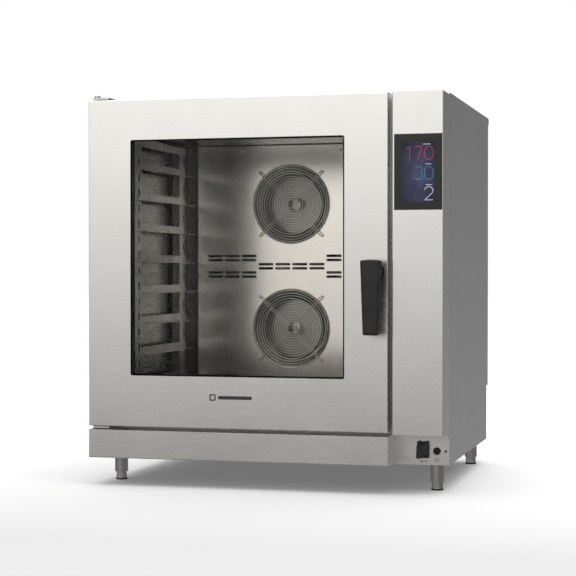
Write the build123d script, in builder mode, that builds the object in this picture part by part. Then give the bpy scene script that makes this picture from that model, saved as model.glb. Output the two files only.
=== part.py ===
"""Combi steamer oven for a restaurant kitchen: eight tray levels, two fans, one side-hung door.

X points to the viewer's right, Y from the door to the back and Z up. The origin is on the floor,
under the centre of the oven's bounding box. All sizes are in millimetres.
"""
import os

from build123d import *

os.makedirs("parts", exist_ok=True)

# ---------------------------------------------------------------------------------------------
# Driving dimensions
# ---------------------------------------------------------------------------------------------
# Oven cavity and the walls around it
cavity_width = 688.0
tray_levels = 8
tray_pitch = 85.0
lowest_ledge = 45.0          # cavity floor to the lowest rail's ledge
above_top_ledge = 98.0       # highest rail's ledge to the cavity ceiling
cavity_depth = 592.5         # casing front to the cavity's rear wall
left_wall = 56.5             # casing outside to the cavity's left wall
under_cavity = 141.0         # casing underside to the cavity floor
over_cavity = 83.5           # cavity ceiling to the top of the side panels
rear_space = 134.0           # cavity's rear wall to the casing's upper back

# Casing
sheet = 1.5                  # casing sheet metal
foot_height = 70.0           # floor to the casing's underside
step_depth = 28.5            # how far the lower back is set in
step_height = 160.0          # casing underside to that step
rim_depth = 14.0             # top cover's rear rim beyond the upper back
rim_height = 18.0
rim_drop = 1.0               # rim's top below the side panels' top

# Door, fascia and drip tray, all in front of the casing
front_projection = 100.5     # door face to the casing's front
door_thickness = 86.0
door_over_right = 69.0       # how far the door laps over the cavity, by side
door_over_top = 77.0
door_over_bottom = 52.0
door_sheet = 1.2
door_gap = 11.0              # between the door and the fascia
fascia_width = 130.5
fascia_overhang = 1.0        # fascia above the door
fascia_drop = 3.5            # fascia below the door
tray_gap = 9.3               # between the door and the drip tray
drip_tray_rise = 4.5         # drip tray's underside above the casing's underside

# Window, as the width of the door's frame on each side
window_left = 119.0
window_right = 114.0
window_top = 107.0
window_bottom = 136.5
window_corner = 5.5
outer_glass = 5.0
inner_glass = 5.0

# Handle
handle_reach = 61.5          # handle's face in front of the door
handle_length = 191.0
handle_top_width = 54.0
handle_end_width = 40.0
handle_from_edge = 33.8      # handle's centre line to the door's right edge
handle_pivot_rise = 411.0    # door bottom to the pivot
handle_above_pivot = 31.0    # pivot to the handle's top

# Display
display_width = 122.8
display_height = 192.0
display_drop = 108.0         # fascia top to the glass's top
display_right = 2.5          # glass's right edge to the fascia's right edge
screen_width = 85.9
screen_height = 154.1
screen_left = 18.2           # glass's left edge to the screen's left edge
screen_drop = 19.0           # glass's top edge to the screen's top edge

# Fans and baffle
baffle_gap = 89.0            # baffle's face to the cavity's rear wall
baffle_half_width = 289.8
lower_fan_rise = 191.0       # cavity floor to the lower fan's axis
upper_fan_drop = 177.0       # cavity ceiling to the upper fan's axis
inlet_radius = 116.0
throat_radius = 87.0
throat_depth = 28.0
guard_radius = 114.0
guard_wire = 2.6
guard_ring_step = 7.7
guard_leg_radius = 133.0     # fan axis to the guard's screws
wheel_radius = 135.0

# Racks for 600 mm wide trays
tray_width = 600.0
rail_gap = 11.5              # tray edge to the rail's web
ledge_width = 22.0
rail_web = 22.0

# Feet
foot_inset = 38.5            # casing side to the foot's axis
foot_front = 43.5            # casing front to the front feet
foot_rear = 60.0             # lower back to the rear feet
foot_sleeve_radius = 18.0
foot_sleeve_length = 48.5
foot_stud_radius = 9.0
foot_travel = 20.0

# Door hinge
hinge_from_edge = 14.5       # door's left edge to the pins' axis
hinge_from_face = 30.0       # door's face to the pins' axis
hinge_pin_radius = 6.0
hinge_plate = 5.0

# Service connections
drain_radius = 25.0
vent_radius = 25.0
water_radius = 13.2          # three-quarter-inch pipe thread

# Named clearances
running_gap = 0.05           # radial, pins and shafts in their bushes
fit_gap = 0.4                # glass and inserts in their cut-outs
free_gap = 1.0               # between bodies that pass each other

# ---------------------------------------------------------------------------------------------
# Places worked out from them
# ---------------------------------------------------------------------------------------------
cavity_height = lowest_ledge + (tray_levels - 1) * tray_pitch + above_top_ledge
door_width = left_wall + cavity_width + door_over_right
body_width = door_width + door_gap + fascia_width
x0, x1 = -body_width / 2, body_width / 2
inside_x0, inside_x1 = x0 + sheet, x1 - sheet

casing_z0 = foot_height
cavity_z0 = casing_z0 + under_cavity
cavity_z1 = cavity_z0 + cavity_height
casing_z1 = cavity_z1 + over_cavity
step_z = casing_z0 + step_height

casing_depth = cavity_depth + rear_space
overall_depth = handle_reach + front_projection + casing_depth + rim_depth
door_y = handle_reach - overall_depth / 2
casing_y0 = door_y + front_projection
casing_y1 = casing_y0 + casing_depth
lower_y1 = casing_y1 - step_depth

cavity_x0 = x0 + left_wall
cavity_x1 = cavity_x0 + cavity_width
cavity_y1 = casing_y0 + cavity_depth
baffle_y = cavity_y1 - baffle_gap
fan_x = (cavity_x0 + cavity_x1) / 2
lower_fan_z = cavity_z0 + lower_fan_rise
upper_fan_z = cavity_z1 - upper_fan_drop
fan_heights = {"lower": lower_fan_z, "upper": upper_fan_z}

door_x1 = x0 + door_width
door_z0 = cavity_z0 - door_over_bottom
door_z1 = cavity_z1 + door_over_top
door_back = door_y + door_thickness
window_x0, window_x1 = x0 + window_left, door_x1 - window_right
window_z0, window_z1 = door_z0 + window_bottom, door_z1 - window_top

fascia_x0 = door_x1 + door_gap
fascia_z0 = door_z0 - fascia_drop
fascia_z1 = door_z1 + fascia_overhang
tray_z0 = casing_z0 + drip_tray_rise
tray_z1 = door_z0 - tray_gap

glass_x1 = x1 - display_right
glass_x0 = glass_x1 - display_width
glass_z1 = fascia_z1 - display_drop
glass_z0 = glass_z1 - display_height

hinge_x = x0 + hinge_from_edge
hinge_y = door_y + hinge_from_face
handle_x = door_x1 - handle_from_edge
handle_z = door_z0 + handle_pivot_rise

foot_y0 = casing_y0 + foot_front
foot_y1 = lower_y1 - foot_rear
foot_places = {
    "front_left": (x0 + foot_inset, foot_y0),
    "front_right": (x1 - foot_inset, foot_y0),
    "rear_left": (x0 + foot_inset, foot_y1),
    "rear_right": (x1 - foot_inset, foot_y1),
}
mains_x0 = cavity_x1 + 34.0  # left side of the electrical compartment, right of the insulation

pieces = {}


# ---------------------------------------------------------------------------------------------
# Small drawing helpers
# ---------------------------------------------------------------------------------------------
def front_plane(y):
    """An upright plane at depth y, drawn as seen from the door: X to the right, Z up."""
    return Plane.XZ.offset(-y)


def side_plane(x):
    """An upright plane at x, seen from the right: Y to the right, Z up."""
    return Plane.YZ.offset(x)


def block(xa, xb, ya, yb, za, zb, mode=Mode.ADD):
    """A rectangular block between two opposite corners."""
    with Locations(((xa + xb) / 2, (ya + yb) / 2, (za + zb) / 2)):
        Box(xb - xa, yb - ya, zb - za, mode=mode)


def rod_x(xa, xb, y, z, radius, mode=Mode.ADD):
    """A round bar or hole along X."""
    with Locations(((xa + xb) / 2, y, z)):
        Cylinder(radius, xb - xa, rotation=(0, 90, 0), mode=mode)


def rod_y(x, ya, yb, z, radius, mode=Mode.ADD):
    """A round bar or hole along Y."""
    with Locations((x, (ya + yb) / 2, z)):
        Cylinder(radius, yb - ya, rotation=(90, 0, 0), mode=mode)


def rod_z(x, y, za, zb, radius, mode=Mode.ADD):
    """A round bar or hole along Z."""
    with Locations((x, y, (za + zb) / 2)):
        Cylinder(radius, zb - za, mode=mode)


def slot_y(x, z, ya, yb, length, width, mode=Mode.SUBTRACT):
    """A round-ended slot along X, cut through from ya to yb."""
    block(x - (length - width) / 2, x + (length - width) / 2, ya, yb, z - width / 2, z + width / 2, mode)
    for end in (-1, 1):
        rod_y(x + end * (length - width) / 2, ya, yb, z, width / 2, mode)


# ---------------------------------------------------------------------------------------------
# Casing
# ---------------------------------------------------------------------------------------------
drain_z = casing_z0 + 75.0
pan_flange = 40.0
wool = 28.0
bearer_top = cavity_z0 - sheet - wool    # under the cavity's insulation
bearer_flange = 30.0
front_bearer, rear_bearer = 110.0, 130.0  # casing front and chamber's rear wall to the bearers
intake_slots, intake_pitch, intake_width = 5, 24.0, 12.0
intake_depth = 100.0
intake_front = casing_y0 + 409.0

# Folded floor pan with two bearers that carry the cavity
with BuildPart() as base_pan:
    block(inside_x0, inside_x1, casing_y0 + sheet, lower_y1 - sheet, casing_z0, casing_z0 + pan_flange)
    block(inside_x0 + sheet, inside_x1 - sheet, casing_y0 + 2 * sheet, lower_y1 - 2 * sheet,
          casing_z0 + sheet, casing_z0 + pan_flange, Mode.SUBTRACT)
    for bearer_y in (casing_y0 + front_bearer, cavity_y1 - rear_bearer):
        block(inside_x0 + sheet, mains_x0, bearer_y, bearer_y + sheet, casing_z0 + sheet, bearer_top)
        block(inside_x0 + sheet, mains_x0, bearer_y, bearer_y + bearer_flange, bearer_top - sheet, bearer_top)
        rod_y(fan_x, bearer_y - 1, bearer_y + sheet + 1, drain_z, drain_radius + 4, Mode.SUBTRACT)
    block(door_x1, inside_x1 - sheet, casing_y0, casing_y0 + 2 * sheet, casing_z0 + sheet,
          casing_z0 + pan_flange + 1, Mode.SUBTRACT)
    for column in range(intake_slots):
        intake_x = mains_x0 + 30 + column * intake_pitch
        block(intake_x, intake_x + intake_width, intake_front, intake_front + intake_depth,
              casing_z0 - 1, casing_z0 + sheet + 1, Mode.SUBTRACT)
pieces["base_pan"] = base_pan

wiring_slot_x0, wiring_slot_x1 = fascia_x0 + 20, fascia_x0 + 105
cavity_corner = 18.0

# Front plate of the casing, around the mouth of the cavity
with BuildPart() as front_frame:
    block(inside_x0, inside_x1, casing_y0, casing_y0 + sheet, casing_z0, casing_z1 - sheet)
    block(door_x1, inside_x1 + 1, casing_y0 - 1, casing_y0 + sheet + 1,
          casing_z0 - 1, fascia_z0, Mode.SUBTRACT)
    block(wiring_slot_x0, wiring_slot_x1, casing_y0 - 1, casing_y0 + sheet + 1,
          fascia_z0 + 60, fascia_z1 - 60, Mode.SUBTRACT)
    with BuildSketch(front_plane(casing_y0 - 1)):
        with Locations((fan_x, (cavity_z0 + cavity_z1) / 2)):
            RectangleRounded(cavity_width, cavity_height, cavity_corner)
    extrude(amount=-(sheet + 2), mode=Mode.SUBTRACT)
pieces["front_frame"] = front_frame

fan_shaft_hole = 14.0
drain_x, drain_y = fan_x, casing_y0 + 290
drain_hole = 22.0
vent_hole = 22.0
vent_x, vent_y = fan_x + 180, cavity_y1 - 45

# Welded cooking chamber, open at the front
with BuildPart() as oven_cavity:
    with BuildSketch(front_plane(casing_y0 + sheet)):
        with Locations((fan_x, (cavity_z0 + cavity_z1) / 2)):
            RectangleRounded(cavity_width + 2 * sheet, cavity_height + 2 * sheet, cavity_corner + sheet)
    extrude(amount=-cavity_depth)
    with BuildSketch(front_plane(casing_y0 + sheet)):
        with Locations((fan_x, (cavity_z0 + cavity_z1) / 2)):
            RectangleRounded(cavity_width, cavity_height, cavity_corner)
    extrude(amount=-(cavity_depth - sheet), mode=Mode.SUBTRACT)
    for fan_z in fan_heights.values():
        rod_y(fan_x, cavity_y1 - 1, cavity_y1 + 2 * sheet, fan_z, fan_shaft_hole, Mode.SUBTRACT)
    rod_z(drain_x, drain_y, cavity_z0 - 2 * sheet, cavity_z0 + 1, drain_hole, Mode.SUBTRACT)
    rod_z(vent_x, vent_y, cavity_z1 - 1, cavity_z1 + 2 * sheet, vent_hole, Mode.SUBTRACT)
pieces["oven_cavity"] = oven_cavity

vent_z = casing_z1 - 50.0
wool_x0, wool_x1 = cavity_x0 - sheet, cavity_x1 + sheet
wool_z0, wool_z1 = cavity_z0 - sheet, cavity_z1 + sheet
wool_y0, wool_y1 = casing_y0 + 2 * sheet, cavity_y1 + sheet
motor_plate_radius = 62.0

# Mineral wool slabs around the chamber
with BuildPart() as insulation:
    block(wool_x0 - wool, wool_x0, wool_y0, wool_y1, wool_z0, wool_z1)
    block(wool_x1, wool_x1 + wool, wool_y0, wool_y1, wool_z0, wool_z1)
    block(wool_x0 - wool, wool_x1 + wool, wool_y0, wool_y1, wool_z0 - wool, wool_z0)
    block(wool_x0 - wool, wool_x1 + wool, wool_y0, wool_y1, wool_z1, wool_z1 + wool)
    block(wool_x0, wool_x1, wool_y1, wool_y1 + wool, wool_z0, wool_z1)
    rod_z(drain_x, drain_y, wool_z0 - wool - 1, wool_z0 + 1, drain_radius + 4, Mode.SUBTRACT)
    rod_z(vent_x, vent_y, wool_z1 - 1, wool_z1 + wool + 1, vent_radius + 4, Mode.SUBTRACT)
    rod_y(vent_x, vent_y, wool_y1 + 1, vent_z, vent_radius + 4, Mode.SUBTRACT)
    for fan_z in fan_heights.values():
        rod_y(fan_x, wool_y1 - 1, wool_y1 + wool + 1, fan_z, motor_plate_radius + 3, Mode.SUBTRACT)
pieces["insulation"] = insulation


def side_panel(x_inner):
    """One flat side panel, stepped at the lower back, from x_inner outwards by one sheet."""
    with BuildPart() as panel:
        with BuildSketch(side_plane(x_inner)):
            with BuildLine():
                Polyline(
                    (casing_y0, casing_z0), (lower_y1, casing_z0), (lower_y1, step_z),
                    (casing_y1, step_z), (casing_y1, casing_z1), (casing_y0, casing_z1), close=True,
                )
            make_face()
        extrude(amount=sheet)
    return panel


pieces["left_side_panel"] = side_panel(x0)
pieces["right_side_panel"] = side_panel(inside_x1)

# Top cover, whose back end is folded into a rim that stands out behind
with BuildPart() as top_cover:
    block(inside_x0, inside_x1, casing_y0 + sheet, casing_y1, casing_z1 - sheet, casing_z1)
    block(x0, x1, casing_y1, casing_y1 + rim_depth, casing_z1 - rim_drop - rim_height, casing_z1 - rim_drop)
    block(x0 + sheet, x1 - sheet, casing_y1 - 1, casing_y1 + rim_depth - sheet,
          casing_z1 - rim_drop - rim_height - 1, casing_z1 - rim_drop - sheet, Mode.SUBTRACT)
pieces["top_cover"] = top_cover

louvre_rows = 9
louvre_pitch = 22.0
louvre_length, louvre_height = 120.0, 8.0
louvre_rise = 120.0          # step to the lowest louvre
louvre_inset = 100.0         # casing side to the louvres' middle

# Upper back panel with its shelf over the step, the louvres and the hole for the steam outlet
with BuildPart() as back_panel:
    block(inside_x0, inside_x1, casing_y1 - sheet, casing_y1, step_z, casing_z1 - sheet)
    block(inside_x0, inside_x1, lower_y1 - sheet, casing_y1 - sheet, step_z, step_z + sheet)
    rod_y(vent_x, casing_y1 - 2 * sheet, casing_y1 + 1, vent_z, vent_radius + fit_gap, Mode.SUBTRACT)
    for row in range(louvre_rows):
        slot_y(inside_x1 - louvre_inset, step_z + louvre_rise + row * louvre_pitch,
               casing_y1 - 2 * sheet, casing_y1 + 1, louvre_length, louvre_height)
pieces["back_panel"] = back_panel

water_places = ((x1 - 90.0, casing_z0 + 110.0), (x1 - 150.0, casing_z0 + 110.0))
gland_x, gland_z = x1 - 60.0, casing_z0 + 62.0
gland_radius = 16.0
cooling_x, cooling_z = x1 - 260.0, casing_z0 + 102.0
cooling_size = 119.0
cooling_wheel_radius = 54.0
grille_length, grille_height, grille_pitch = 96.0, 7.0, 14.0

# Lower back panel with the holes for the connections and the cooling fan
with BuildPart() as lower_back_panel:
    block(inside_x0, inside_x1, lower_y1 - sheet, lower_y1, casing_z0, step_z)
    rod_y(drain_x, lower_y1 - 2 * sheet, lower_y1 + 1, drain_z, drain_radius + fit_gap, Mode.SUBTRACT)
    for water_x, water_z in water_places:
        rod_y(water_x, lower_y1 - 2 * sheet, lower_y1 + 1, water_z, water_radius + fit_gap, Mode.SUBTRACT)
    rod_y(gland_x, lower_y1 - 2 * sheet, lower_y1 + 1, gland_z, gland_radius - 2, Mode.SUBTRACT)
    for grille_row in range(-3, 4):
        slot_y(cooling_x, cooling_z + grille_row * grille_pitch, lower_y1 - 2 * sheet, lower_y1 + 1,
               grille_length, grille_height)
pieces["lower_back_panel"] = lower_back_panel

flap_x = fascia_x0 + 62.1
flap_hinge_z = casing_z0 + 58.0
socket_z = casing_z0 + 38.0
socket_radius = 9.0
button_x = x1 - 32.2
button_z = casing_z0 + 36.2
button_radius = 9.8
led_x = x1 - 8.8
led_radius = 3.0

# Lower front panel, beside the drip tray
with BuildPart() as lower_front_panel:
    block(door_x1, inside_x1, casing_y0, casing_y0 + sheet, casing_z0, fascia_z0)
    rod_y(flap_x, casing_y0 - 1, casing_y0 + sheet + 1, socket_z, socket_radius + fit_gap, Mode.SUBTRACT)
    rod_y(button_x, casing_y0 - 1, casing_y0 + sheet + 1, button_z, button_radius + fit_gap, Mode.SUBTRACT)
    rod_y(led_x, casing_y0 - 1, casing_y0 + sheet + 1, button_z, led_radius + 0.1, Mode.SUBTRACT)
pieces["lower_front_panel"] = lower_front_panel

# ---------------------------------------------------------------------------------------------
# Fascia and controls
# ---------------------------------------------------------------------------------------------
bend_radius = 2.0
fascia_hole = 2.2
fascia_hole_inset = 10.5     # from the casing's front
fascia_hole_drop = 12.0      # below the fascia's top

# Deep folded fascia box, open at the back
with BuildPart() as control_fascia:
    block(fascia_x0, x1, door_y, casing_y0, fascia_z0, fascia_z1)
    fillet(control_fascia.edges().filter_by(Axis.Z).group_by(Axis.Y)[0], bend_radius)
    block(fascia_x0 + sheet, x1 - sheet, door_y + sheet, casing_y0 + 1, fascia_z0 + sheet,
          fascia_z1 - sheet, Mode.SUBTRACT)
    block(glass_x0 - fit_gap, glass_x1 + fit_gap, door_y - 1, door_y + sheet + 1,
          glass_z0 - fit_gap, glass_z1 + fit_gap, Mode.SUBTRACT)
    rod_x(x1 - 2 * sheet, x1 + 1, casing_y0 - fascia_hole_inset, fascia_z1 - fascia_hole_drop,
          fascia_hole, Mode.SUBTRACT)
pieces["control_fascia"] = control_fascia

display_glass_thickness = 4.0
display_proud = 0.6
display_corner = 6.0
display_back = door_y - display_proud + display_glass_thickness

# Black-backed touch glass
with BuildPart() as display_glass:
    with BuildSketch(front_plane(door_y - display_proud)):
        with Locations(((glass_x0 + glass_x1) / 2, (glass_z0 + glass_z1) / 2)):
            RectangleRounded(display_width, display_height, display_corner)
    extrude(amount=-display_glass_thickness)
    chamfer(display_glass.edges().group_by(Axis.Y)[0], 0.4)
pieces["display_glass"] = display_glass

screen_x0 = glass_x0 + screen_left
screen_x1 = screen_x0 + screen_width
screen_z1 = glass_z1 - screen_drop
screen_z0 = screen_z1 - screen_height
screen_module = 6.0
carrier_lap = 12.0

# Liquid-crystal module in its carrier, which laps behind the fascia above and below the glass
with BuildPart() as display_screen:
    block(glass_x0 + 2, glass_x1 - 2, door_y + sheet, display_back + screen_module,
          glass_z0 - carrier_lap, glass_z1 + carrier_lap)
    block(glass_x0, glass_x1, door_y, display_back, glass_z0 - fit_gap, glass_z1 + fit_gap, Mode.SUBTRACT)
pieces["display_screen"] = display_screen

board = 1.6
board_y = display_back + screen_module + 8.0

# Control board on four spacers behind the screen
with BuildPart() as control_board:
    block(screen_x0 - 8, screen_x1 + 5, board_y, board_y + board, screen_z0 - 30, screen_z1 + 5)
    for spacer_x in (screen_x0 + 6, screen_x1 - 6):
        for spacer_z in (screen_z0 + 8, screen_z1 - 8):
            rod_y(spacer_x, display_back + screen_module, board_y, spacer_z, 3)
    board_back = board_y + board
    block(screen_x0 + 10, screen_x0 + 40, board_back, board_back + 9, screen_z0 - 22, screen_z0 - 8)
    block(screen_x0 + 25, screen_x0 + 60, board_back, board_back + 3, screen_z0 + 50, screen_z0 + 85)
pieces["control_board"] = control_board

# Power board, relays and mains terminals on the compartment's inner wall
power_x = inside_x1 - 25.0
power_y0, power_depth = casing_y0 + 129.25, 220.0
power_z0, power_height = casing_z0 + 330.0, 300.0
relays, relay_pitch, relay_width = 4, 48.0, 30.0
with BuildPart() as power_board:
    block(power_x, power_x + board, power_y0, power_y0 + power_depth, power_z0, power_z0 + power_height)
    for relay in range(relays):
        relay_y = power_y0 + 20 + relay * relay_pitch
        block(power_x - 22, power_x, relay_y, relay_y + relay_width, power_z0 + 20, power_z0 + 65)
    block(power_x - 30, power_x, power_y0 + 30, power_y0 + power_depth - 30,
          power_z0 + power_height - 70, power_z0 + power_height - 30)
    for post_y in (power_y0 + 10, power_y0 + power_depth - 10):
        for post_z in (power_z0 + 15, power_z0 + power_height - 15):
            rod_x(power_x + board, inside_x1, post_y, post_z, 4)
pieces["power_board"] = power_board

bezel_depth = 18.0
button_travel = 2.5
button_proud = 1.2
bezel_wall = 1.6
bezel_floor = 2.0
cap_radius = button_radius - bezel_wall - 0.2
cap_back = casing_y0 + bezel_depth - bezel_floor - button_travel - free_gap

# Housing of the power switch, with a thin rim in front of the panel
with BuildPart() as button_bezel:
    rod_y(button_x, casing_y0 - 0.8, casing_y0 + bezel_depth, button_z, button_radius)
    rod_y(button_x, casing_y0 - 2, casing_y0 + bezel_depth - bezel_floor, button_z,
          button_radius - bezel_wall, Mode.SUBTRACT)
pieces["button_bezel"] = button_bezel

# Push cap of the power switch
with BuildPart() as power_button:
    rod_y(button_x, casing_y0 - button_proud, cap_back, button_z, cap_radius)
    fillet(power_button.edges().group_by(Axis.Y)[0], 0.8)
pieces["power_button"] = power_button

# Small lamp beside the power button
with BuildPart() as status_led:
    rod_y(led_x, casing_y0 - 0.3, casing_y0 + 12, button_z, led_radius)
pieces["status_led"] = status_led

# Socket for the core probe, behind its flap
socket_bore = 3.2
with BuildPart() as probe_socket:
    rod_y(flap_x, casing_y0 - 3, casing_y0 + 30, socket_z, socket_radius)
    rod_y(flap_x, casing_y0 - 4, casing_y0 + 22, socket_z, socket_bore, Mode.SUBTRACT)
    block(flap_x - 16, flap_x + 16, casing_y0 - 3, casing_y0, socket_z - 20, flap_hinge_z - 6)
    rod_y(flap_x, casing_y0 - 4, casing_y0, socket_z, socket_bore, Mode.SUBTRACT)
    block(flap_x - 4, flap_x + 4, casing_y0 - 9, casing_y0, flap_hinge_z - 6, flap_hinge_z + 3)
    rod_x(flap_x - 15, flap_x + 15, casing_y0 - 6, flap_hinge_z, 1.5)
pieces["probe_socket"] = probe_socket

flap_half_width = 17.0
flap_length = 42.0
flap_knuckle = 5.0
flap_pin_gap = 0.06
flap_pin_radius = 1.5
ear_half_width = 4.0
ear_gap = 0.4

# Sprung cover flap, hung on two knuckles each side of the socket's ear
with BuildPart() as probe_flap:
    ear_cut = ear_half_width + ear_gap
    for knuckle_x0, knuckle_x1 in ((flap_x - flap_half_width, flap_x - ear_cut),
                                   (flap_x + ear_cut, flap_x + flap_half_width)):
        rod_x(knuckle_x0, knuckle_x1, casing_y0 - 6, flap_hinge_z, flap_knuckle)
        block(knuckle_x0, knuckle_x1, casing_y0 - 11, casing_y0 - 6, flap_hinge_z - 9, flap_hinge_z)
    with BuildSketch(side_plane(flap_x - flap_half_width)):
        with BuildLine():
            Polyline(
                (casing_y0 - 11, flap_hinge_z - 7), (casing_y0 - 3.6, flap_hinge_z - 7),
                (casing_y0 - 3.6, flap_hinge_z - flap_length + 5),
                (casing_y0 - 12, flap_hinge_z - flap_length),
                (casing_y0 - 17, flap_hinge_z - flap_length),
                (casing_y0 - 11, flap_hinge_z - 20), close=True,
            )
        make_face()
    extrude(amount=2 * flap_half_width)
    block(flap_x - ear_cut, flap_x + ear_cut, casing_y0 - 12, casing_y0 - 3,
          flap_hinge_z - 9.5, flap_hinge_z + 6, Mode.SUBTRACT)
    rod_x(flap_x - 15.3, flap_x + 15.3, casing_y0 - 6, flap_hinge_z, flap_pin_radius + flap_pin_gap,
          Mode.SUBTRACT)
pieces["probe_flap"] = probe_flap

# ---------------------------------------------------------------------------------------------
# Drip tray and door gasket
# ---------------------------------------------------------------------------------------------
tray_lip = 8.0

# Open gutter under the door, folded from sheet with a safe edge along its front
with BuildPart() as drip_tray:
    block(x0, door_x1, door_y, casing_y0, tray_z0, tray_z1)
    fillet(drip_tray.edges().filter_by(Axis.X).group_by(Axis.Y)[0].sort_by(Axis.Z)[0], bend_radius)
    block(x0 + sheet, door_x1 - sheet, door_y + sheet, casing_y0 - sheet,
          tray_z0 + sheet, tray_z1 + 1, Mode.SUBTRACT)
    block(x0 + sheet, door_x1 - sheet, door_y + sheet, door_y + tray_lip, tray_z1 - sheet, tray_z1)
pieces["drip_tray"] = drip_tray

gasket_margin = 6.0
gasket_width = 16.0
gasket_front = door_back + 0.5
gasket_corner = 24.0

# Silicone gasket around the mouth of the cavity
with BuildPart() as door_gasket:
    with BuildSketch(front_plane(casing_y0)):
        with Locations((fan_x, (cavity_z0 + cavity_z1) / 2)):
            RectangleRounded(cavity_width + 2 * (gasket_margin + gasket_width),
                             cavity_height + 2 * (gasket_margin + gasket_width), gasket_corner + gasket_width)
            RectangleRounded(cavity_width + 2 * gasket_margin, cavity_height + 2 * gasket_margin,
                             gasket_corner, mode=Mode.SUBTRACT)
    extrude(amount=casing_y0 - gasket_front)
    fillet(door_gasket.edges().group_by(Axis.Y)[0], 4)
pieces["door_gasket"] = door_gasket

# ---------------------------------------------------------------------------------------------
# Inside the chamber
# ---------------------------------------------------------------------------------------------
baffle_sheet = 1.5
baffle_x0, baffle_x1 = fan_x - baffle_half_width, fan_x + baffle_half_width
baffle_z0, baffle_z1 = cavity_z0 + 4.0, cavity_z1 - 3.0
slot_length, slot_width = 46.5, 7.8
slot_pitch, slot_row_pitch = 52.2, 12.3
middle_z = (upper_fan_z + lower_fan_z) / 2
centre_columns = (-1.5, -0.5, 0.5, 1.5)
side_columns = (-4.5, -3.5, -2.5, 2.5, 3.5, 4.5)


def inlet_cone(fan_z, wall, mode=Mode.ADD):
    """The drawn inlet of one fan: a cone from the baffle's face to the throat."""
    near, far = inlet_radius - wall, throat_radius - wall
    with Locations(Location((fan_x, baffle_y + throat_depth / 2, fan_z))):
        Cone(near, far, throat_depth, rotation=(-90, 0, 0), mode=mode)


# Baffle with folded sides, two drawn inlets and the air slots between them
with BuildPart() as fan_baffle:
    block(baffle_x0, baffle_x1, baffle_y, baffle_y + baffle_sheet, baffle_z0, baffle_z1)
    for fold_x in (baffle_x0, baffle_x1 - baffle_sheet):
        block(fold_x, fold_x + baffle_sheet, baffle_y, baffle_y + 20, baffle_z0, baffle_z1)
    for fan_z in fan_heights.values():
        inlet_cone(fan_z, -baffle_sheet)
    for fan_z in fan_heights.values():
        inlet_cone(fan_z, 0, Mode.SUBTRACT)
    for column in centre_columns:
        for row in (-0.5, 0.5):
            slot_y(fan_x + column * slot_pitch, middle_z + row * slot_row_pitch,
                   baffle_y - 1, baffle_y + baffle_sheet + 1, slot_length, slot_width)
    for column in side_columns:
        for row in (-2.5, -1.5, 1.5, 2.5):
            slot_y(fan_x + column * slot_pitch, middle_z + row * slot_row_pitch,
                   baffle_y - 1, baffle_y + baffle_sheet + 1, slot_length, slot_width)
pieces["fan_baffle"] = fan_baffle

guard_rings = 13
guard_y = baffle_y - guard_wire / 2
hairpin_width = 7.0
guard_leg_inner = 11.0
guard_leg_y = guard_y - 0.7 * guard_wire     # legs welded on the front of the rings


def fan_guard(fan_z):
    """A flat wire guard: rings on four hairpin legs that reach out to the baffle's screws."""
    with BuildPart() as guard:
        for ring in range(guard_rings + 1):
            with Locations(Location((fan_x, guard_y, fan_z), (90, 0, 0))):
                Torus(guard_radius - guard_wire / 2 - ring * guard_ring_step, guard_wire / 2)
        for leg_direction in ((1, 0, 1), (-1, 0, 1), (-1, 0, -1), (1, 0, -1)):
            leg_plane = Plane(origin=(fan_x, guard_leg_y, fan_z), x_dir=leg_direction, z_dir=(0, -1, 0))
            with BuildLine(leg_plane) as hairpin:
                out = Line((guard_leg_inner, -hairpin_width / 2), (guard_leg_radius, -hairpin_width / 2))
                turn = ThreePointArc(out @ 1, (guard_leg_radius + hairpin_width / 2, 0),
                                     (guard_leg_radius, hairpin_width / 2))
                Line(turn @ 1, (guard_leg_inner, hairpin_width / 2))
            with BuildSketch(Plane(hairpin.line @ 0, z_dir=hairpin.line % 0)):
                Circle(guard_wire / 2)
            sweep(path=hairpin.line)
    return guard


for fan_name, fan_z in fan_heights.items():
    pieces[f"{fan_name}_fan_guard"] = fan_guard(fan_z)

wheel_front = throat_depth + 2.0         # behind the baffle's face
wheel_depth = 46.0
wheel_plate = 2.0
wheel_blades = 8
wheel_hub_radius = 22.0
wheel_hub_front = 50.0
blade_inner_radius = 92.0
shaft_radius = 6.0
shaft_in_motor = 58.0
motor_y = cavity_y1 + sheet


def fan_wheel(fan_z):
    """A radial wheel: back plate, blades, front ring and hub, on its motor's shaft."""
    front = baffle_y + wheel_front
    back = front + wheel_depth
    with BuildPart() as wheel:
        rod_y(fan_x, back - wheel_plate, back, fan_z, wheel_radius)
        rod_y(fan_x, front, front + wheel_plate, fan_z, wheel_radius)
        rod_y(fan_x, front - 1, front + wheel_plate, fan_z, blade_inner_radius + 6, Mode.SUBTRACT)
        for blade in range(wheel_blades):
            blade_plane = Plane(origin=(fan_x, front, fan_z), z_dir=(0, 1, 0))
            with BuildSketch(blade_plane.rotated((0, blade * 360 / wheel_blades, 0))):
                with Locations(((blade_inner_radius + wheel_radius) / 2, 0)):
                    Rectangle(wheel_radius - blade_inner_radius - 4, wheel_plate, rotation=25)
            extrude(amount=wheel_depth - wheel_plate / 2)
        rod_y(fan_x, baffle_y + wheel_hub_front, back, fan_z, wheel_hub_radius)
        rod_y(fan_x, baffle_y + wheel_hub_front - 6, baffle_y + wheel_hub_front, fan_z, 9)
        rod_y(fan_x, back - 1, motor_y + shaft_in_motor - 2, fan_z, shaft_radius)
    return wheel


for fan_name, fan_z in fan_heights.items():
    pieces[f"{fan_name}_fan_wheel"] = fan_wheel(fan_z)

motor_neck = wool + 4.0
motor_radius = 52.0
motor_length = 86.0

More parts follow.
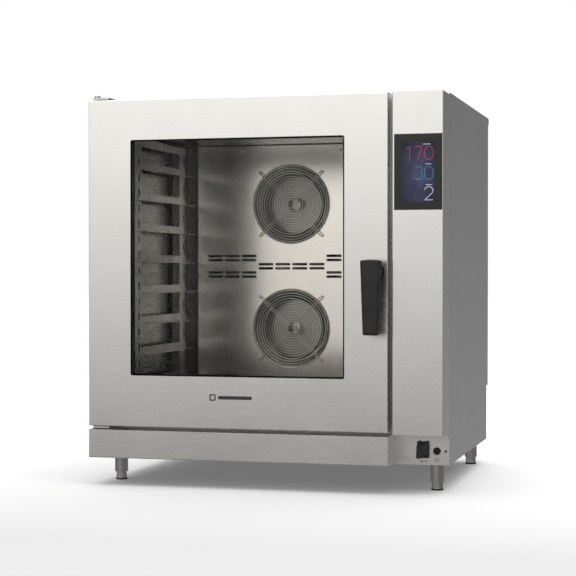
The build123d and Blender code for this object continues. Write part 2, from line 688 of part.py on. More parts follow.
# Two fan motors on the chamber's rear wall, reached from the back
with BuildPart() as fan_motors:
    for fan_z in fan_heights.values():
        rod_y(fan_x, motor_y, motor_y + 3, fan_z, motor_plate_radius)
        rod_y(fan_x, motor_y, motor_y + motor_neck, fan_z, 26)
        rod_y(fan_x, motor_y + motor_neck, motor_y + motor_neck + motor_length, fan_z, motor_radius)
        rod_y(fan_x, motor_y - 1, motor_y + shaft_in_motor, fan_z, shaft_radius + running_gap, Mode.SUBTRACT)
pieces["fan_motors"] = fan_motors

heater_radius = 160.0
heater_tube = 4.2
heater_turns = 3
heater_pitch = 14.0
heater_front = 24.0
heater_leg = 5.5

# Tubular heating elements: three joined rings round each wheel, on two legs to the rear wall
with BuildPart() as heating_elements:
    for fan_z in fan_heights.values():
        for turn in range(heater_turns):
            turn_y = baffle_y + heater_front + turn * heater_pitch
            with Locations(Location((fan_x, turn_y, fan_z), (90, 0, 0))):
                Torus(heater_radius, heater_tube)
        for leg_side in (-1, 1):
            rod_y(fan_x + leg_side * heater_radius, baffle_y + heater_front - heater_leg, cavity_y1,
                  fan_z, heater_leg)
            rod_y(fan_x + leg_side * heater_radius, cavity_y1 - 4, cavity_y1, fan_z, 11)
pieces["heating_elements"] = heating_elements

injector_y = baffle_y + 45.0
injector_radius = 4.0
nozzle_reach = 14.0

# Water pipe from the side wall, with a nozzle towards each wheel
with BuildPart() as steam_injector:
    rod_x(fan_x - 6, cavity_x1, injector_y, middle_z, injector_radius)
    rod_x(cavity_x1 - 3, cavity_x1, injector_y, middle_z, 12)
    rod_z(fan_x, injector_y, middle_z - nozzle_reach, middle_z + nozzle_reach, injector_radius - 1)
pieces["steam_injector"] = steam_injector

# ---- Racks: two frames hung on studs, each with eight angle rails ---------------------------
rack_sheet = 1.5
front_post_y, front_post_width = casing_y0 + 5.5, 52.0
rear_post_y, rear_post_width = casing_y0 + 396.5, 48.0
rail_y0 = front_post_y + front_post_width
rail_y1 = rail_y0 + 411.0
post_flange = 22.0
post_z0, post_z1 = cavity_z0 + 14.0, cavity_z1 - 12.0
tie_height = 22.0
web_reach = tray_width / 2 + rail_gap    # cavity's middle to the rails' webs
front_post_reach = web_reach - 3.0
ledge_heights = [cavity_z0 + lowest_ledge + level * tray_pitch for level in range(tray_levels)]
stud_radius = 4.0
stud_inset = 90.0            # chamber floor and ceiling to the studs
stud_from_post = 14.0


def across(side, near, far):
    """The two X limits of something that lies between two distances from the cavity's middle."""
    return sorted((fan_x + side * near, fan_x + side * far))


with BuildPart() as rack_frames:
    for side in (-1, 1):
        block(*across(side, front_post_reach, front_post_reach + post_flange), front_post_y,
              front_post_y + front_post_width, post_z0, post_z1)
        block(*across(side, front_post_reach + rack_sheet, front_post_reach + post_flange + 1),
              front_post_y + rack_sheet, front_post_y + front_post_width - rack_sheet,
              post_z0 - 1, post_z1 + 1, Mode.SUBTRACT)
        rear_reach = web_reach + rack_sheet
        block(*across(side, rear_reach, rear_reach + post_flange), rear_post_y,
              rear_post_y + rear_post_width, post_z0, post_z1)
        block(*across(side, rear_reach + rack_sheet, rear_reach + post_flange + 1), rear_post_y + rack_sheet,
              rear_post_y + rear_post_width - rack_sheet, post_z0 - 1, post_z1 + 1, Mode.SUBTRACT)
        for tie_z in (post_z0, post_z1 - tie_height):
            block(*across(side, web_reach, rear_reach), rail_y0, rear_post_y + rear_post_width,
                  tie_z, tie_z + tie_height)
        for half_level in range(2 * tray_levels):
            slot_z = cavity_z0 + lowest_ledge + (half_level + 0.25) * tray_pitch / 2
            block(*across(side, front_post_reach - 1, front_post_reach + rack_sheet + 1),
                  front_post_y + 28, front_post_y + 39, slot_z, slot_z + 20, Mode.SUBTRACT)
        for ledge_z in ledge_heights:
            block(*across(side, rear_reach - 1, rear_reach + rack_sheet + 1), rear_post_y + 32,
                  rear_post_y + 40, ledge_z + 38, ledge_z + 58, Mode.SUBTRACT)
pieces["rack_frames"] = rack_frames


def rack_rails(side):
    """Eight angle rails: an upright web with a ledge along its lower edge."""
    with BuildPart() as rails:
        for ledge_z in ledge_heights:
            block(*across(side, web_reach, web_reach + rack_sheet), rail_y0, rail_y1,
                  ledge_z, ledge_z + rail_web)
            block(*across(side, web_reach - ledge_width + rack_sheet, web_reach + rack_sheet),
                  rail_y0, rail_y1, ledge_z, ledge_z + rack_sheet)
    return rails


pieces["left_rack_rails"] = rack_rails(-1)
pieces["right_rack_rails"] = rack_rails(1)

# Studs on the chamber's side walls that the rack frames hang on
with BuildPart() as rack_studs:
    for side in (-1, 1):
        for stud_z in (cavity_z0 + stud_inset, cavity_z1 - stud_inset):
            rod_x(*across(side, front_post_reach + rack_sheet, cavity_width / 2),
                  front_post_y + stud_from_post, stud_z, stud_radius)
            rod_x(*across(side, web_reach + 2 * rack_sheet, cavity_width / 2),
                  rear_post_y + stud_from_post, stud_z, stud_radius)
pieces["rack_studs"] = rack_studs

strainer_radius = 44.0
strainer_holes, strainer_hole_radius, strainer_hole_circle = 12, 3.5, 30.0

# Lift-out strainer over the drain
with BuildPart() as drain_strainer:
    rod_z(drain_x, drain_y, cavity_z0, cavity_z0 + 2, strainer_radius)
    rod_z(drain_x, drain_y, cavity_z0 + 2, cavity_z0 + 8, 10)
    fillet(drain_strainer.edges().filter_by(GeomType.CIRCLE).group_by(Axis.Z)[-1], 3)
    for hole in range(strainer_holes):
        hole_place = Vector(strainer_hole_circle, 0).rotate(Axis.Z, hole * 360 / strainer_holes)
        rod_z(drain_x + hole_place.X, drain_y + hole_place.Y, cavity_z0 - 1, cavity_z0 + 3,
              strainer_hole_radius, Mode.SUBTRACT)
pieces["drain_strainer"] = drain_strainer

# ---------------------------------------------------------------------------------------------
# Service connections behind the chamber
# ---------------------------------------------------------------------------------------------
pipe_wall = 1.5
pipe_step = 0.4              # radius by which the outlets stand over the pipes behind the panels
rear_end = casing_y1 + rim_depth

pipe_bend = 28.0


def outlet_pipe(x, y, z_end, z_run, panel_y, radius):
    """A bent tube from the chamber to a back panel, with a slightly stouter stub behind the panel."""
    rise = pipe_bend if z_end > z_run else -pipe_bend
    outside, bore = radius - pipe_step, radius - pipe_step - pipe_wall
    halfway = 1 - 0.5 ** 0.5
    with BuildPart() as pipe:
        with BuildLine(side_plane(x)) as route:
            upright = Line((y, z_end), (y, z_run + rise))
            bend = ThreePointArc(upright @ 1, (y + halfway * pipe_bend, z_run + halfway * rise),
                                 (y + pipe_bend, z_run))
            Line(bend @ 1, (panel_y, z_run))
        with BuildSketch(Plane(route.line @ 0, z_dir=route.line % 0)):
            Circle(outside)
            Circle(bore, mode=Mode.SUBTRACT)
        sweep(path=route.line)
        with BuildSketch(front_plane(panel_y)):
            with Locations((x, z_run)):
                Circle(radius)
                Circle(bore, mode=Mode.SUBTRACT)
        extrude(amount=-(rear_end - panel_y))
    return pipe


# Drain from the chamber floor to the lower back
pieces["drain_pipe"] = outlet_pipe(drain_x, drain_y, cavity_z0 - sheet, drain_z, lower_y1, drain_radius)

damper_y = cavity_y1 + 60.0
damper_shaft = 3.0
damper_motor_gap = 6.0
vent_pipe_radius = vent_radius - pipe_step

# Steam outlet from the chamber's ceiling to the upper back, bored for the flap's shaft
vent_pipe = outlet_pipe(vent_x, vent_y, cavity_z1 + sheet, vent_z, casing_y1, vent_radius)
with vent_pipe:
    rod_x(vent_x - vent_radius - 1, vent_x + vent_radius + 1, damper_y, vent_z,
          damper_shaft + running_gap, Mode.SUBTRACT)
pieces["vent_pipe"] = vent_pipe

damper_gap = 0.5
damper_plate = 1.5
damper_shaft_end = vent_x + vent_radius + 20.0

# Butterfly flap that opens the steam outlet, on its motor's shaft
with BuildPart() as vent_flap:
    rod_y(vent_x, damper_y - damper_plate / 2, damper_y + damper_plate / 2, vent_z,
          vent_pipe_radius - pipe_wall - damper_gap)
    rod_x(vent_x - vent_radius, damper_shaft_end, damper_y, vent_z, damper_shaft)
pieces["vent_flap"] = vent_flap

# Geared motor of the flap, on a bracket on the outlet pipe
with BuildPart() as vent_motor:
    block(vent_x + vent_radius + damper_motor_gap, vent_x + vent_radius + 46, damper_y - 18, damper_y + 18,
          vent_z - 18, vent_z + 18)
    block(vent_x + vent_radius - 1, vent_x + vent_radius + damper_motor_gap, damper_y - 18, damper_y - 12,
          vent_z - 8, vent_z + 8)
    rod_y(vent_x, damper_y - 19, damper_y - 11, vent_z, vent_pipe_radius, Mode.SUBTRACT)
    rod_x(vent_x + vent_radius, damper_shaft_end + 1, damper_y, vent_z, damper_shaft + running_gap,
          Mode.SUBTRACT)
pieces["vent_motor"] = vent_motor

water_stub = 22.0

# Two water inlet valves with threaded spigots through the lower back
with BuildPart() as water_valves:
    for water_x, water_z in water_places:
        rod_y(water_x, lower_y1 - 30, lower_y1, water_z, water_radius - pipe_step)
        rod_y(water_x, lower_y1, lower_y1 + water_stub, water_z, water_radius)
        rod_y(water_x, lower_y1 - 5, lower_y1 - sheet, water_z, water_radius + 4)
        block(water_x - 14, water_x + 14, lower_y1 - 62, lower_y1 - 30, water_z - 16, water_z + 22)
        rod_y(water_x, lower_y1 - 25, lower_y1 + water_stub + 1, water_z, water_radius - 3.2, Mode.SUBTRACT)
pieces["water_valves"] = water_valves

gland_bore = 8.5

# Gland for the mains lead
with BuildPart() as cable_gland:
    with BuildSketch(front_plane(lower_y1)):
        with Locations((gland_x, gland_z)):
            RegularPolygon(gland_radius, 6)
    extrude(amount=-10)
    rod_y(gland_x, lower_y1 + 10, lower_y1 + 26, gland_z, gland_radius - 3)
    rod_y(gland_x, lower_y1 - 14, lower_y1, gland_z, gland_radius - 2.2)
    rod_y(gland_x, lower_y1 - 6, lower_y1 - sheet, gland_z, gland_radius + 1)
    rod_y(gland_x, lower_y1 - 15, lower_y1 + 27, gland_z, gland_bore, Mode.SUBTRACT)
pieces["cable_gland"] = cable_gland

cooling_depth = 25.0
cooling_y = lower_y1 - sheet - cooling_depth
cooling_hub = 20.0

# Square frame of the electronics' cooling fan, with its motor on three arms
with BuildPart() as cooling_fan_frame:
    half = cooling_size / 2
    block(cooling_x - half, cooling_x + half, cooling_y, cooling_y + cooling_depth,
          cooling_z - half, cooling_z + half)
    rod_y(cooling_x, cooling_y - 1, cooling_y + cooling_depth + 1, cooling_z, cooling_wheel_radius + free_gap,
          Mode.SUBTRACT)
    for arm in range(3):
        arm_plane = Plane(origin=(cooling_x, cooling_y, cooling_z), z_dir=(0, 1, 0))
        with BuildSketch(arm_plane.rotated((0, arm * 120, 0))):
            with Locations(((cooling_wheel_radius + free_gap) / 2 + 1, 0)):
                Rectangle(cooling_wheel_radius + free_gap + 1, 5)
        extrude(amount=3)
    rod_y(cooling_x, cooling_y, cooling_y + 3, cooling_z, cooling_hub)
    rod_y(cooling_x, cooling_y + 3, cooling_y + 18, cooling_z, 4)
pieces["cooling_fan_frame"] = cooling_fan_frame

cooling_blades = 7

# Bladed rotor of the cooling fan
with BuildPart() as cooling_fan_wheel:
    rod_y(cooling_x, cooling_y + 4, cooling_y + 22, cooling_z, cooling_hub)
    for blade in range(cooling_blades):
        hub_plane = Plane(origin=(cooling_x, cooling_y + 13, cooling_z), z_dir=(0, 1, 0))
        blade_plane = hub_plane.rotated((0, blade * 360 / cooling_blades, 0))
        radial_plane = Plane(origin=blade_plane.from_local_coords((cooling_hub - 2, 0, 0)),
                             x_dir=blade_plane.y_dir, z_dir=blade_plane.x_dir)
        with BuildSketch(radial_plane):
            Rectangle(26, 1.6, rotation=38)
        extrude(amount=cooling_wheel_radius - cooling_hub)
    rod_y(cooling_x, cooling_y + 3, cooling_y + 19, cooling_z, 4 + running_gap, Mode.SUBTRACT)
pieces["cooling_fan_wheel"] = cooling_fan_wheel

# ---------------------------------------------------------------------------------------------
# Feet
# ---------------------------------------------------------------------------------------------
sleeve_z0 = casing_z0 - foot_sleeve_length
sleeve_floor = 3.0
stud_engaged = 24.0          # thread left in the sleeve with the foot screwed right out
stud_top = sleeve_z0 + foot_travel + stud_engaged
hex_across_flats = 26.0
pad_height = 5.0
pad_radius = 15.5
hex_gap = 0.3

# Four sleeves under the floor pan
with BuildPart() as foot_sleeves:
    for foot_x, foot_y in foot_places.values():
        rod_z(foot_x, foot_y, sleeve_z0, casing_z0, foot_sleeve_radius)
    chamfer(foot_sleeves.edges().filter_by(GeomType.CIRCLE).group_by(Axis.Z)[0], 1)
    for foot_x, foot_y in foot_places.values():
        rod_z(foot_x, foot_y, sleeve_z0 - 1, casing_z0 - sleeve_floor,
              foot_stud_radius + running_gap, Mode.SUBTRACT)
pieces["foot_sleeves"] = foot_sleeves


def foot_tip(foot_x, foot_y):
    """One adjustable foot: stud, hexagon for the spanner and round pad."""
    with BuildPart() as foot:
        with BuildSketch(Plane.XY.offset(pad_height)):
            with Locations((foot_x, foot_y)):
                RegularPolygon(hex_across_flats / 2, 6, major_radius=False)
        extrude(amount=sleeve_z0 - hex_gap - pad_height)
        rod_z(foot_x, foot_y, 0, pad_height, pad_radius)
        fillet(foot.edges().filter_by(GeomType.CIRCLE).group_by(Axis.Z)[0], 1)
        rod_z(foot_x, foot_y, sleeve_z0 - hex_gap, stud_top, foot_stud_radius)
    return foot


for foot_name, (foot_x, foot_y) in foot_places.items():
    pieces[f"foot_{foot_name}"] = foot_tip(foot_x, foot_y)

# ---------------------------------------------------------------------------------------------
# Door hinge and latch
# ---------------------------------------------------------------------------------------------
bracket_x0, bracket_x1 = hinge_x - 9.0, hinge_x + 37.0
upper_plate_z = door_z1 + 4.0
lower_plate_z = door_z0 - 2.0 - hinge_plate
pin_length = 28.0
pin_head_radius = 8.0
bracket_leg = 28.0

# Upper and lower hinge brackets with their pins
with BuildPart() as hinge_brackets:
    block(bracket_x0, bracket_x1, hinge_y - 14, casing_y0, upper_plate_z, upper_plate_z + hinge_plate)
    block(bracket_x0, bracket_x1, casing_y0 - hinge_plate, casing_y0, door_z1 - bracket_leg, upper_plate_z)
    rod_z(hinge_x, hinge_y, door_z1 - pin_length, upper_plate_z + hinge_plate, hinge_pin_radius)
    rod_z(hinge_x, hinge_y, upper_plate_z + hinge_plate, upper_plate_z + hinge_plate + 6, pin_head_radius)
    block(bracket_x0, bracket_x1, hinge_y - 14, casing_y0, lower_plate_z, lower_plate_z + hinge_plate)
    block(bracket_x0, bracket_x1, casing_y0 - hinge_plate, casing_y0,
          lower_plate_z, door_z0 + bracket_leg - 2)
    rod_z(hinge_x, hinge_y, lower_plate_z, door_z0 + pin_length, hinge_pin_radius)
pieces["hinge_brackets"] = hinge_brackets

shaft_y1 = door_back + 9.0
hook_y0 = door_back + 3.0
hook_half_width = 7.5
hook_tail = 9.0
hook_length = 30.0
strike_gap = 1.5
strike_sheet = 2.5
strike_x1 = handle_x - hook_half_width - strike_gap
strike_z0, strike_z1 = handle_z + 14, handle_z + hook_length + 6
strike_foot = 26.0

# Keeper on the casing that the latch hook lies against
with BuildPart() as latch_strike:
    block(strike_x1 - strike_sheet, strike_x1, hook_y0 + 1, casing_y0, strike_z0, strike_z1)
    block(strike_x1 - strike_sheet, strike_x1 + strike_foot, casing_y0 - strike_sheet, casing_y0,
          strike_z0, strike_z1)
pieces["latch_strike"] = latch_strike

# ---------------------------------------------------------------------------------------------
# Door
# ---------------------------------------------------------------------------------------------
bush_radius = 11.0
bush_flange = 13.0
bush_hole = bush_radius + 0.1
bush_floor = 4.0
rosette_radius = 26.0
skin_back = door_back - door_sheet

# Folded outer shell of the door, with the window cut out of its face
with BuildPart() as door_skin:
    block(x0, door_x1, door_y, skin_back, door_z0, door_z1)
    fillet(door_skin.edges().group_by(Axis.Y)[0], bend_radius)
    block(x0 + door_sheet, door_x1 - door_sheet, door_y + door_sheet, skin_back + 1,
          door_z0 + door_sheet, door_z1 - door_sheet, Mode.SUBTRACT)
    with BuildSketch(front_plane(door_y - 1)):
        with Locations(((window_x0 + window_x1) / 2, (window_z0 + window_z1) / 2)):
            RectangleRounded(window_x1 - window_x0 + 2 * fit_gap, window_z1 - window_z0 + 2 * fit_gap,
                             window_corner + fit_gap)
    extrude(amount=-(door_sheet + 2), mode=Mode.SUBTRACT)
    rod_z(hinge_x, hinge_y, door_z0 - 1, door_z0 + 2 * door_sheet, bush_hole, Mode.SUBTRACT)
    rod_z(hinge_x, hinge_y, door_z1 - 2 * door_sheet, door_z1 + 1, bush_hole, Mode.SUBTRACT)
    rod_y(handle_x, door_y - 1, door_y + 2 * door_sheet, handle_z, bush_hole, Mode.SUBTRACT)
pieces["door_skin"] = door_skin

# Bushes for the hinge pins, seated in the shell's top and bottom
with BuildPart() as hinge_bushes:
    rod_z(hinge_x, hinge_y, door_z1 - pin_length - bush_floor, door_z1, bush_radius)
    rod_z(hinge_x, hinge_y, door_z1 - door_sheet - 3, door_z1 - door_sheet, bush_flange)
    rod_z(hinge_x, hinge_y, door_z0, door_z0 + pin_length + bush_floor, bush_radius)
    rod_z(hinge_x, hinge_y, door_z0 + door_sheet, door_z0 + door_sheet + 3, bush_flange)
    rod_z(hinge_x, hinge_y, door_z1 - pin_length - 1, door_z1 + 1,
          hinge_pin_radius + running_gap, Mode.SUBTRACT)
    rod_z(hinge_x, hinge_y, door_z0 - 1, door_z0 + pin_length + 1,
          hinge_pin_radius + running_gap, Mode.SUBTRACT)
pieces["hinge_bushes"] = hinge_bushes

glass_set_back = 0.3

# Outer pane, level with the door's face
with BuildPart() as door_outer_glass:
    with BuildSketch(front_plane(door_y + glass_set_back)):
        with Locations(((window_x0 + window_x1) / 2, (window_z0 + window_z1) / 2)):
            RectangleRounded(window_x1 - window_x0, window_z1 - window_z0, window_corner)
    extrude(amount=-outer_glass)
pieces["door_outer_glass"] = door_outer_glass

seal_flange = 12.0
seal_lip = 4.0
seal_depth = 9.0

# Black silicone frame that holds the outer pane in the shell
with BuildPart() as window_seal:
    block(window_x0 - seal_flange, window_x1 + seal_flange, door_y + door_sheet, door_y + seal_depth,
          window_z0 - seal_flange, window_z1 + seal_flange)
    block(window_x0 - fit_gap / 2, window_x1 + fit_gap / 2, door_y, door_y + glass_set_back + outer_glass,
          window_z0 - fit_gap / 2, window_z1 + fit_gap / 2, Mode.SUBTRACT)
    block(window_x0 + seal_lip, window_x1 - seal_lip, door_y, door_y + seal_depth + 1,
          window_z0 + seal_lip, window_z1 - seal_lip, Mode.SUBTRACT)
pieces["window_seal"] = window_seal

view_over_side = 35.0        # by which the inner opening is wider than the window, each side
view_over_end = 22.0
view_x0, view_x1 = window_x0 - view_over_side, window_x1 + view_over_side
view_z0, view_z1 = window_z0 - view_over_end, window_z1 + view_over_end
pane_lap = 8.0
pane_gap = 1.0
rebate = 7.0

# Inner shell of the door, with a rebate for the inner pane
with BuildPart() as door_inner_frame:
    block(x0, door_x1, skin_back, door_back, door_z0, door_z1)
    block(view_x0 - pane_lap - pane_gap - door_sheet, view_x1 + pane_lap + pane_gap + door_sheet,
          door_back - rebate - door_sheet, skin_back,
          view_z0 - pane_lap - pane_gap - door_sheet, view_z1 + pane_lap + pane_gap + door_sheet)
    block(view_x0 - pane_lap - pane_gap, view_x1 + pane_lap + pane_gap, door_back - rebate, door_back + 1,
          view_z0 - pane_lap - pane_gap, view_z1 + pane_lap + pane_gap, Mode.SUBTRACT)
    block(view_x0, view_x1, door_back - rebate - 2 * door_sheet, door_back, view_z0, view_z1, Mode.SUBTRACT)
    rod_y(handle_x, door_back - 2 * door_sheet, door_back + 1, handle_z, bush_hole, Mode.SUBTRACT)
pieces["door_inner_frame"] = door_inner_frame

# Inner pane, hinged on the real door so that both panes can be cleaned
with BuildPart() as door_inner_glass:
    with BuildSketch(front_plane(door_back - rebate)):
        with Locations(((view_x0 + view_x1) / 2, (view_z0 + view_z1) / 2)):
            RectangleRounded(view_x1 - view_x0 + 2 * pane_lap, view_z1 - view_z0 + 2 * pane_lap, 4)
    extrude(amount=-inner_glass)
pieces["door_inner_glass"] = door_inner_glass

handle_shaft_radius = 7.0
rosette_thickness = 2.4

# Rosette and bush that carry the handle's shaft through the door
with BuildPart() as handle_rosette:
    rod_y(handle_x, door_y - rosette_thickness, door_y, handle_z, rosette_radius)
    rod_y(handle_x, door_y - rosette_thickness, door_back, handle_z, bush_radius)
    rod_y(handle_x, door_y - 4, door_back + 1, handle_z, handle_shaft_radius + running_gap, Mode.SUBTRACT)
pieces["handle_rosette"] = handle_rosette

lever_thickness = 22.0
lever_y = door_y - handle_reach
shaft_y0 = lever_y + lever_thickness - 8
boss_radius = 22.0
boss_back = door_y - rosette_thickness - 0.6
lever_top = handle_z + handle_above_pivot
lever_end = lever_top - handle_length

# Tapered lever with its boss
with BuildPart() as door_handle:
    with BuildSketch(front_plane(lever_y)):
        with BuildLine():
            left_top = (handle_x - handle_top_width / 2, lever_top - 1.5)
            right_top = (handle_x + handle_top_width / 2, lever_top - 1.5)
            ThreePointArc(left_top, (handle_x, lever_top), right_top)
            Polyline(right_top, (handle_x + handle_end_width / 2, lever_end),
                     (handle_x - handle_end_width / 2, lever_end), left_top)
        make_face()
    extrude(amount=-lever_thickness)
    fillet(door_handle.edges().filter_by(lambda edge: abs((edge % 0.5).Z) > 0.9), 6)
    fillet(door_handle.edges().group_by(Axis.Y)[0], 2.5)
    rod_y(handle_x, lever_y + lever_thickness, boss_back, handle_z, boss_radius)
    rod_y(handle_x, shaft_y0, boss_back + 1, handle_z, handle_shaft_radius, Mode.SUBTRACT)
pieces["door_handle"] = door_handle

# Latch hook on the handle's shaft
with BuildPart() as latch_hook:
    rod_y(handle_x, shaft_y0, shaft_y1, handle_z, handle_shaft_radius)
    block(handle_x - hook_half_width, handle_x + hook_half_width, hook_y0, shaft_y1,
          handle_z - hook_tail, handle_z + hook_length)
    fillet(latch_hook.edges().filter_by(Axis.Y).group_by(Axis.Z)[-1], 5)
pieces["latch_hook"] = latch_hook

# ---------------------------------------------------------------------------------------------
# Screws: one size of button-head screw holds every cover
# ---------------------------------------------------------------------------------------------
screw_head_radius = 4.5
screw_head = 2.4
screw_socket = 1.6
guard_shank_radius = 1.9

screw_inset = 14.0
screw_columns = 5
screw_pitch = (inside_x1 - inside_x0 - 2 * screw_inset) / (screw_columns - 1)
rear_screws = [(inside_x0 + screw_inset + column * screw_pitch, height)
               for column in range(screw_columns) for height in (step_z + screw_inset, casing_z1 - 60)]
lower_rear_screws = [(screw_x, screw_z) for screw_x in (inside_x0 + screw_inset, inside_x1 - screw_inset)
                     for screw_z in (casing_z0 + pan_flange + 10, step_z - screw_inset)]
baffle_screws = [(fan_x + side * 152, baffle_z1 - 15) for side in (-1, 1)]
baffle_screws += [(fan_x + side * (baffle_half_width - 22), baffle_z0 + 22) for side in (-1, 1)]
guard_screw = guard_leg_radius / 2 ** 0.5
guard_screws = [(fan_x + right * guard_screw, fan_z + up * guard_screw)
                for fan_z in fan_heights.values() for right in (-1, 1) for up in (-1, 1)]


def button_head(x, y, z):
    """One screw head whose seat faces back, at depth y."""
    rod_y(x, y - screw_head, y, z, screw_head_radius)
    rod_y(x, y - screw_head - 1, y - screw_head / 2, z, screw_socket, Mode.SUBTRACT)


def guard_button_head(x, y, z):
    """One screw that clamps a guard's hairpin, with its seat at depth y and its end on the baffle."""
    button_head(x, y, z)
    rod_y(x, y, baffle_y, z, guard_shank_radius)


def rear_button_head(x, y, z):
    """One screw head whose seat faces forward, at depth y."""
    rod_y(x, y, y + screw_head, z, screw_head_radius)
    rod_y(x, y + screw_head / 2, y + screw_head + 1, z, screw_socket, Mode.SUBTRACT)


with BuildPart() as panel_screws:
    for screw_x, screw_z in rear_screws:
        rear_button_head(screw_x, casing_y1, screw_z)
    for screw_x, screw_z in lower_rear_screws:
        rear_button_head(screw_x, lower_y1, screw_z)
    for screw_x, screw_z in baffle_screws:
        button_head(screw_x, baffle_y, screw_z)
    for screw_x, screw_z in guard_screws:
        guard_button_head(screw_x, guard_leg_y - guard_wire / 2, screw_z)
pieces["panel_screws"] = panel_screws

for name, piece in pieces.items():
    piece.part.label = name
    export_step(piece.part, f"parts/{name}.step")
print(len(pieces), "pieces")
print("overall", round(body_width, 1), round(overall_depth, 1), round(upper_plate_z + hinge_plate + 6, 1))
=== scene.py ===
"""Combi steamer oven: finishes, drawn and moulded details, and a plain studio round it.

All lengths are in metres, in the part's own frame: X to the right, Y from the door to the back, Z up.
"""

import math

import bmesh
import bpy
import numpy as np
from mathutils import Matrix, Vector


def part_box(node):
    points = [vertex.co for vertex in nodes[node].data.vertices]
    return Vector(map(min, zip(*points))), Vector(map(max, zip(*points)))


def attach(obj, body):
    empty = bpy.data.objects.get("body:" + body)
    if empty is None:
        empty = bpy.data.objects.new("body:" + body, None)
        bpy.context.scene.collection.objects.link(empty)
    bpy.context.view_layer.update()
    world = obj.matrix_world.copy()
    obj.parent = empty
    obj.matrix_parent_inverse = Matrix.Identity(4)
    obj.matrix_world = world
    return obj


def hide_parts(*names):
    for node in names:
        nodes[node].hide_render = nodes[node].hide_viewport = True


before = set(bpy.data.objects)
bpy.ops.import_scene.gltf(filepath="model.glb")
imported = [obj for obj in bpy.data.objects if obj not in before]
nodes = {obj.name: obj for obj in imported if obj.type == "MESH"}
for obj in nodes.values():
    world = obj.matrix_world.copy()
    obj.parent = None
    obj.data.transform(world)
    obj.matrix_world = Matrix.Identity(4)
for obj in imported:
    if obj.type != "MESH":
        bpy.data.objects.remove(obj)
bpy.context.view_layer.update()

# ---------------------------------------------------------------------------------------------
# Camera: a long lens from the front right, a little above the middle of the door, tilted down by
# half a degree
# ---------------------------------------------------------------------------------------------
camera_place = (1.1363, -4.38295, 0.5675)
camera_bearing, camera_tilt = 14.905, 0.544
camera_data = bpy.data.cameras.new("camera")
camera_data.lens = 100
camera_data.sensor_width = 36
camera_data.clip_end = 200
camera = bpy.data.objects.new("camera", camera_data)
camera.location = camera_place
camera.rotation_euler = (math.radians(90 - camera_tilt), 0, math.radians(camera_bearing))
bpy.context.scene.collection.objects.link(camera)
bpy.context.scene.camera = camera

# ---------------------------------------------------------------------------------------------
# Studio: a white floor with painted shade, darker towards the front, and a faint painted glow that lifts
# its shadows; a large soft panel and a broad soft sun overhead, and a graded surround, which is what the
# polished sheet mirrors: bright above the horizon in front, grey behind it.
# ---------------------------------------------------------------------------------------------
floor_half = 30.0
floor_fade_start, floor_fade_end = -1.2, 1.4
floor_painted_shade, floor_light = 0.44, 0.92
floor_painted_glow = 0.10
floor_mesh = bpy.data.meshes.new("studio_floor")
floor_mesh.from_pydata([(-floor_half, -floor_half, 0), (floor_half, -floor_half, 0),
                        (floor_half, floor_half, 0), (-floor_half, floor_half, 0)], [], [(0, 1, 2, 3)])
studio_floor = bpy.data.objects.new("studio_floor", floor_mesh)
bpy.context.scene.collection.objects.link(studio_floor)
studio_floor.visible_glossy = False

floor_paint = bpy.data.materials.new("floor_paint")
floor_paint.use_nodes = True
floor_shader = floor_paint.node_tree.nodes["Principled BSDF"]
floor_shader.inputs["Roughness"].default_value = 0.9
floor_shader.inputs["Specular IOR Level"].default_value = 0.0
floor_links = floor_paint.node_tree.links.new
floor_place = floor_paint.node_tree.nodes.new("ShaderNodeTexCoord")
floor_split = floor_paint.node_tree.nodes.new("ShaderNodeSeparateXYZ")
# painted shade: the floor's colour darkens from floor_fade_end towards the front at floor_fade_start
floor_shade = floor_paint.node_tree.nodes.new("ShaderNodeMapRange")
for socket, value in (("From Min", floor_fade_start), ("From Max", floor_fade_end),
                      ("To Min", floor_painted_shade), ("To Max", floor_light)):
    floor_shade.inputs[socket].default_value = value
floor_links(floor_place.outputs["Object"], floor_split.inputs[0])
floor_links(floor_split.outputs["Y"], floor_shade.inputs["Value"])
floor_links(floor_shade.outputs[0], floor_shader.inputs["Base Color"])
# painted light: a faint glow from the floor itself lifts the shadow under the oven
floor_shader.inputs["Emission Color"].default_value = (1, 1, 1, 1)
floor_shader.inputs["Emission Strength"].default_value = floor_painted_glow
floor_mesh.materials.append(floor_paint)


def soft_panel(name, place, aim, width, height, power):
    """A rectangular soft light at place, facing aim."""
    data = bpy.data.lights.new(name, "AREA")
    data.shape = "RECTANGLE"
    data.size = width
    data.size_y = height
    data.energy = power
    lamp = bpy.data.objects.new(name, data)
    lamp.location = place
    lamp.rotation_euler = (Vector(aim) - Vector(place)).to_track_quat("-Z", "Y").to_euler()
    lamp.visible_camera = False
    bpy.context.scene.collection.objects.link(lamp)
    return lamp


overhead_place, overhead_side, overhead_power = (0.2, -0.6, 4.6), 5.0, 150
soft_panel("overhead_panel", overhead_place, (0, 0, 0), overhead_side, overhead_side, overhead_power)
dome_power, dome_spread = 1.5, 100
dome_data = bpy.data.lights.new("dome", "SUN")
dome_data.energy = dome_power
dome_data.angle = math.radians(dome_spread)
dome = bpy.data.objects.new("dome", dome_data)
bpy.context.scene.collection.objects.link(dome)


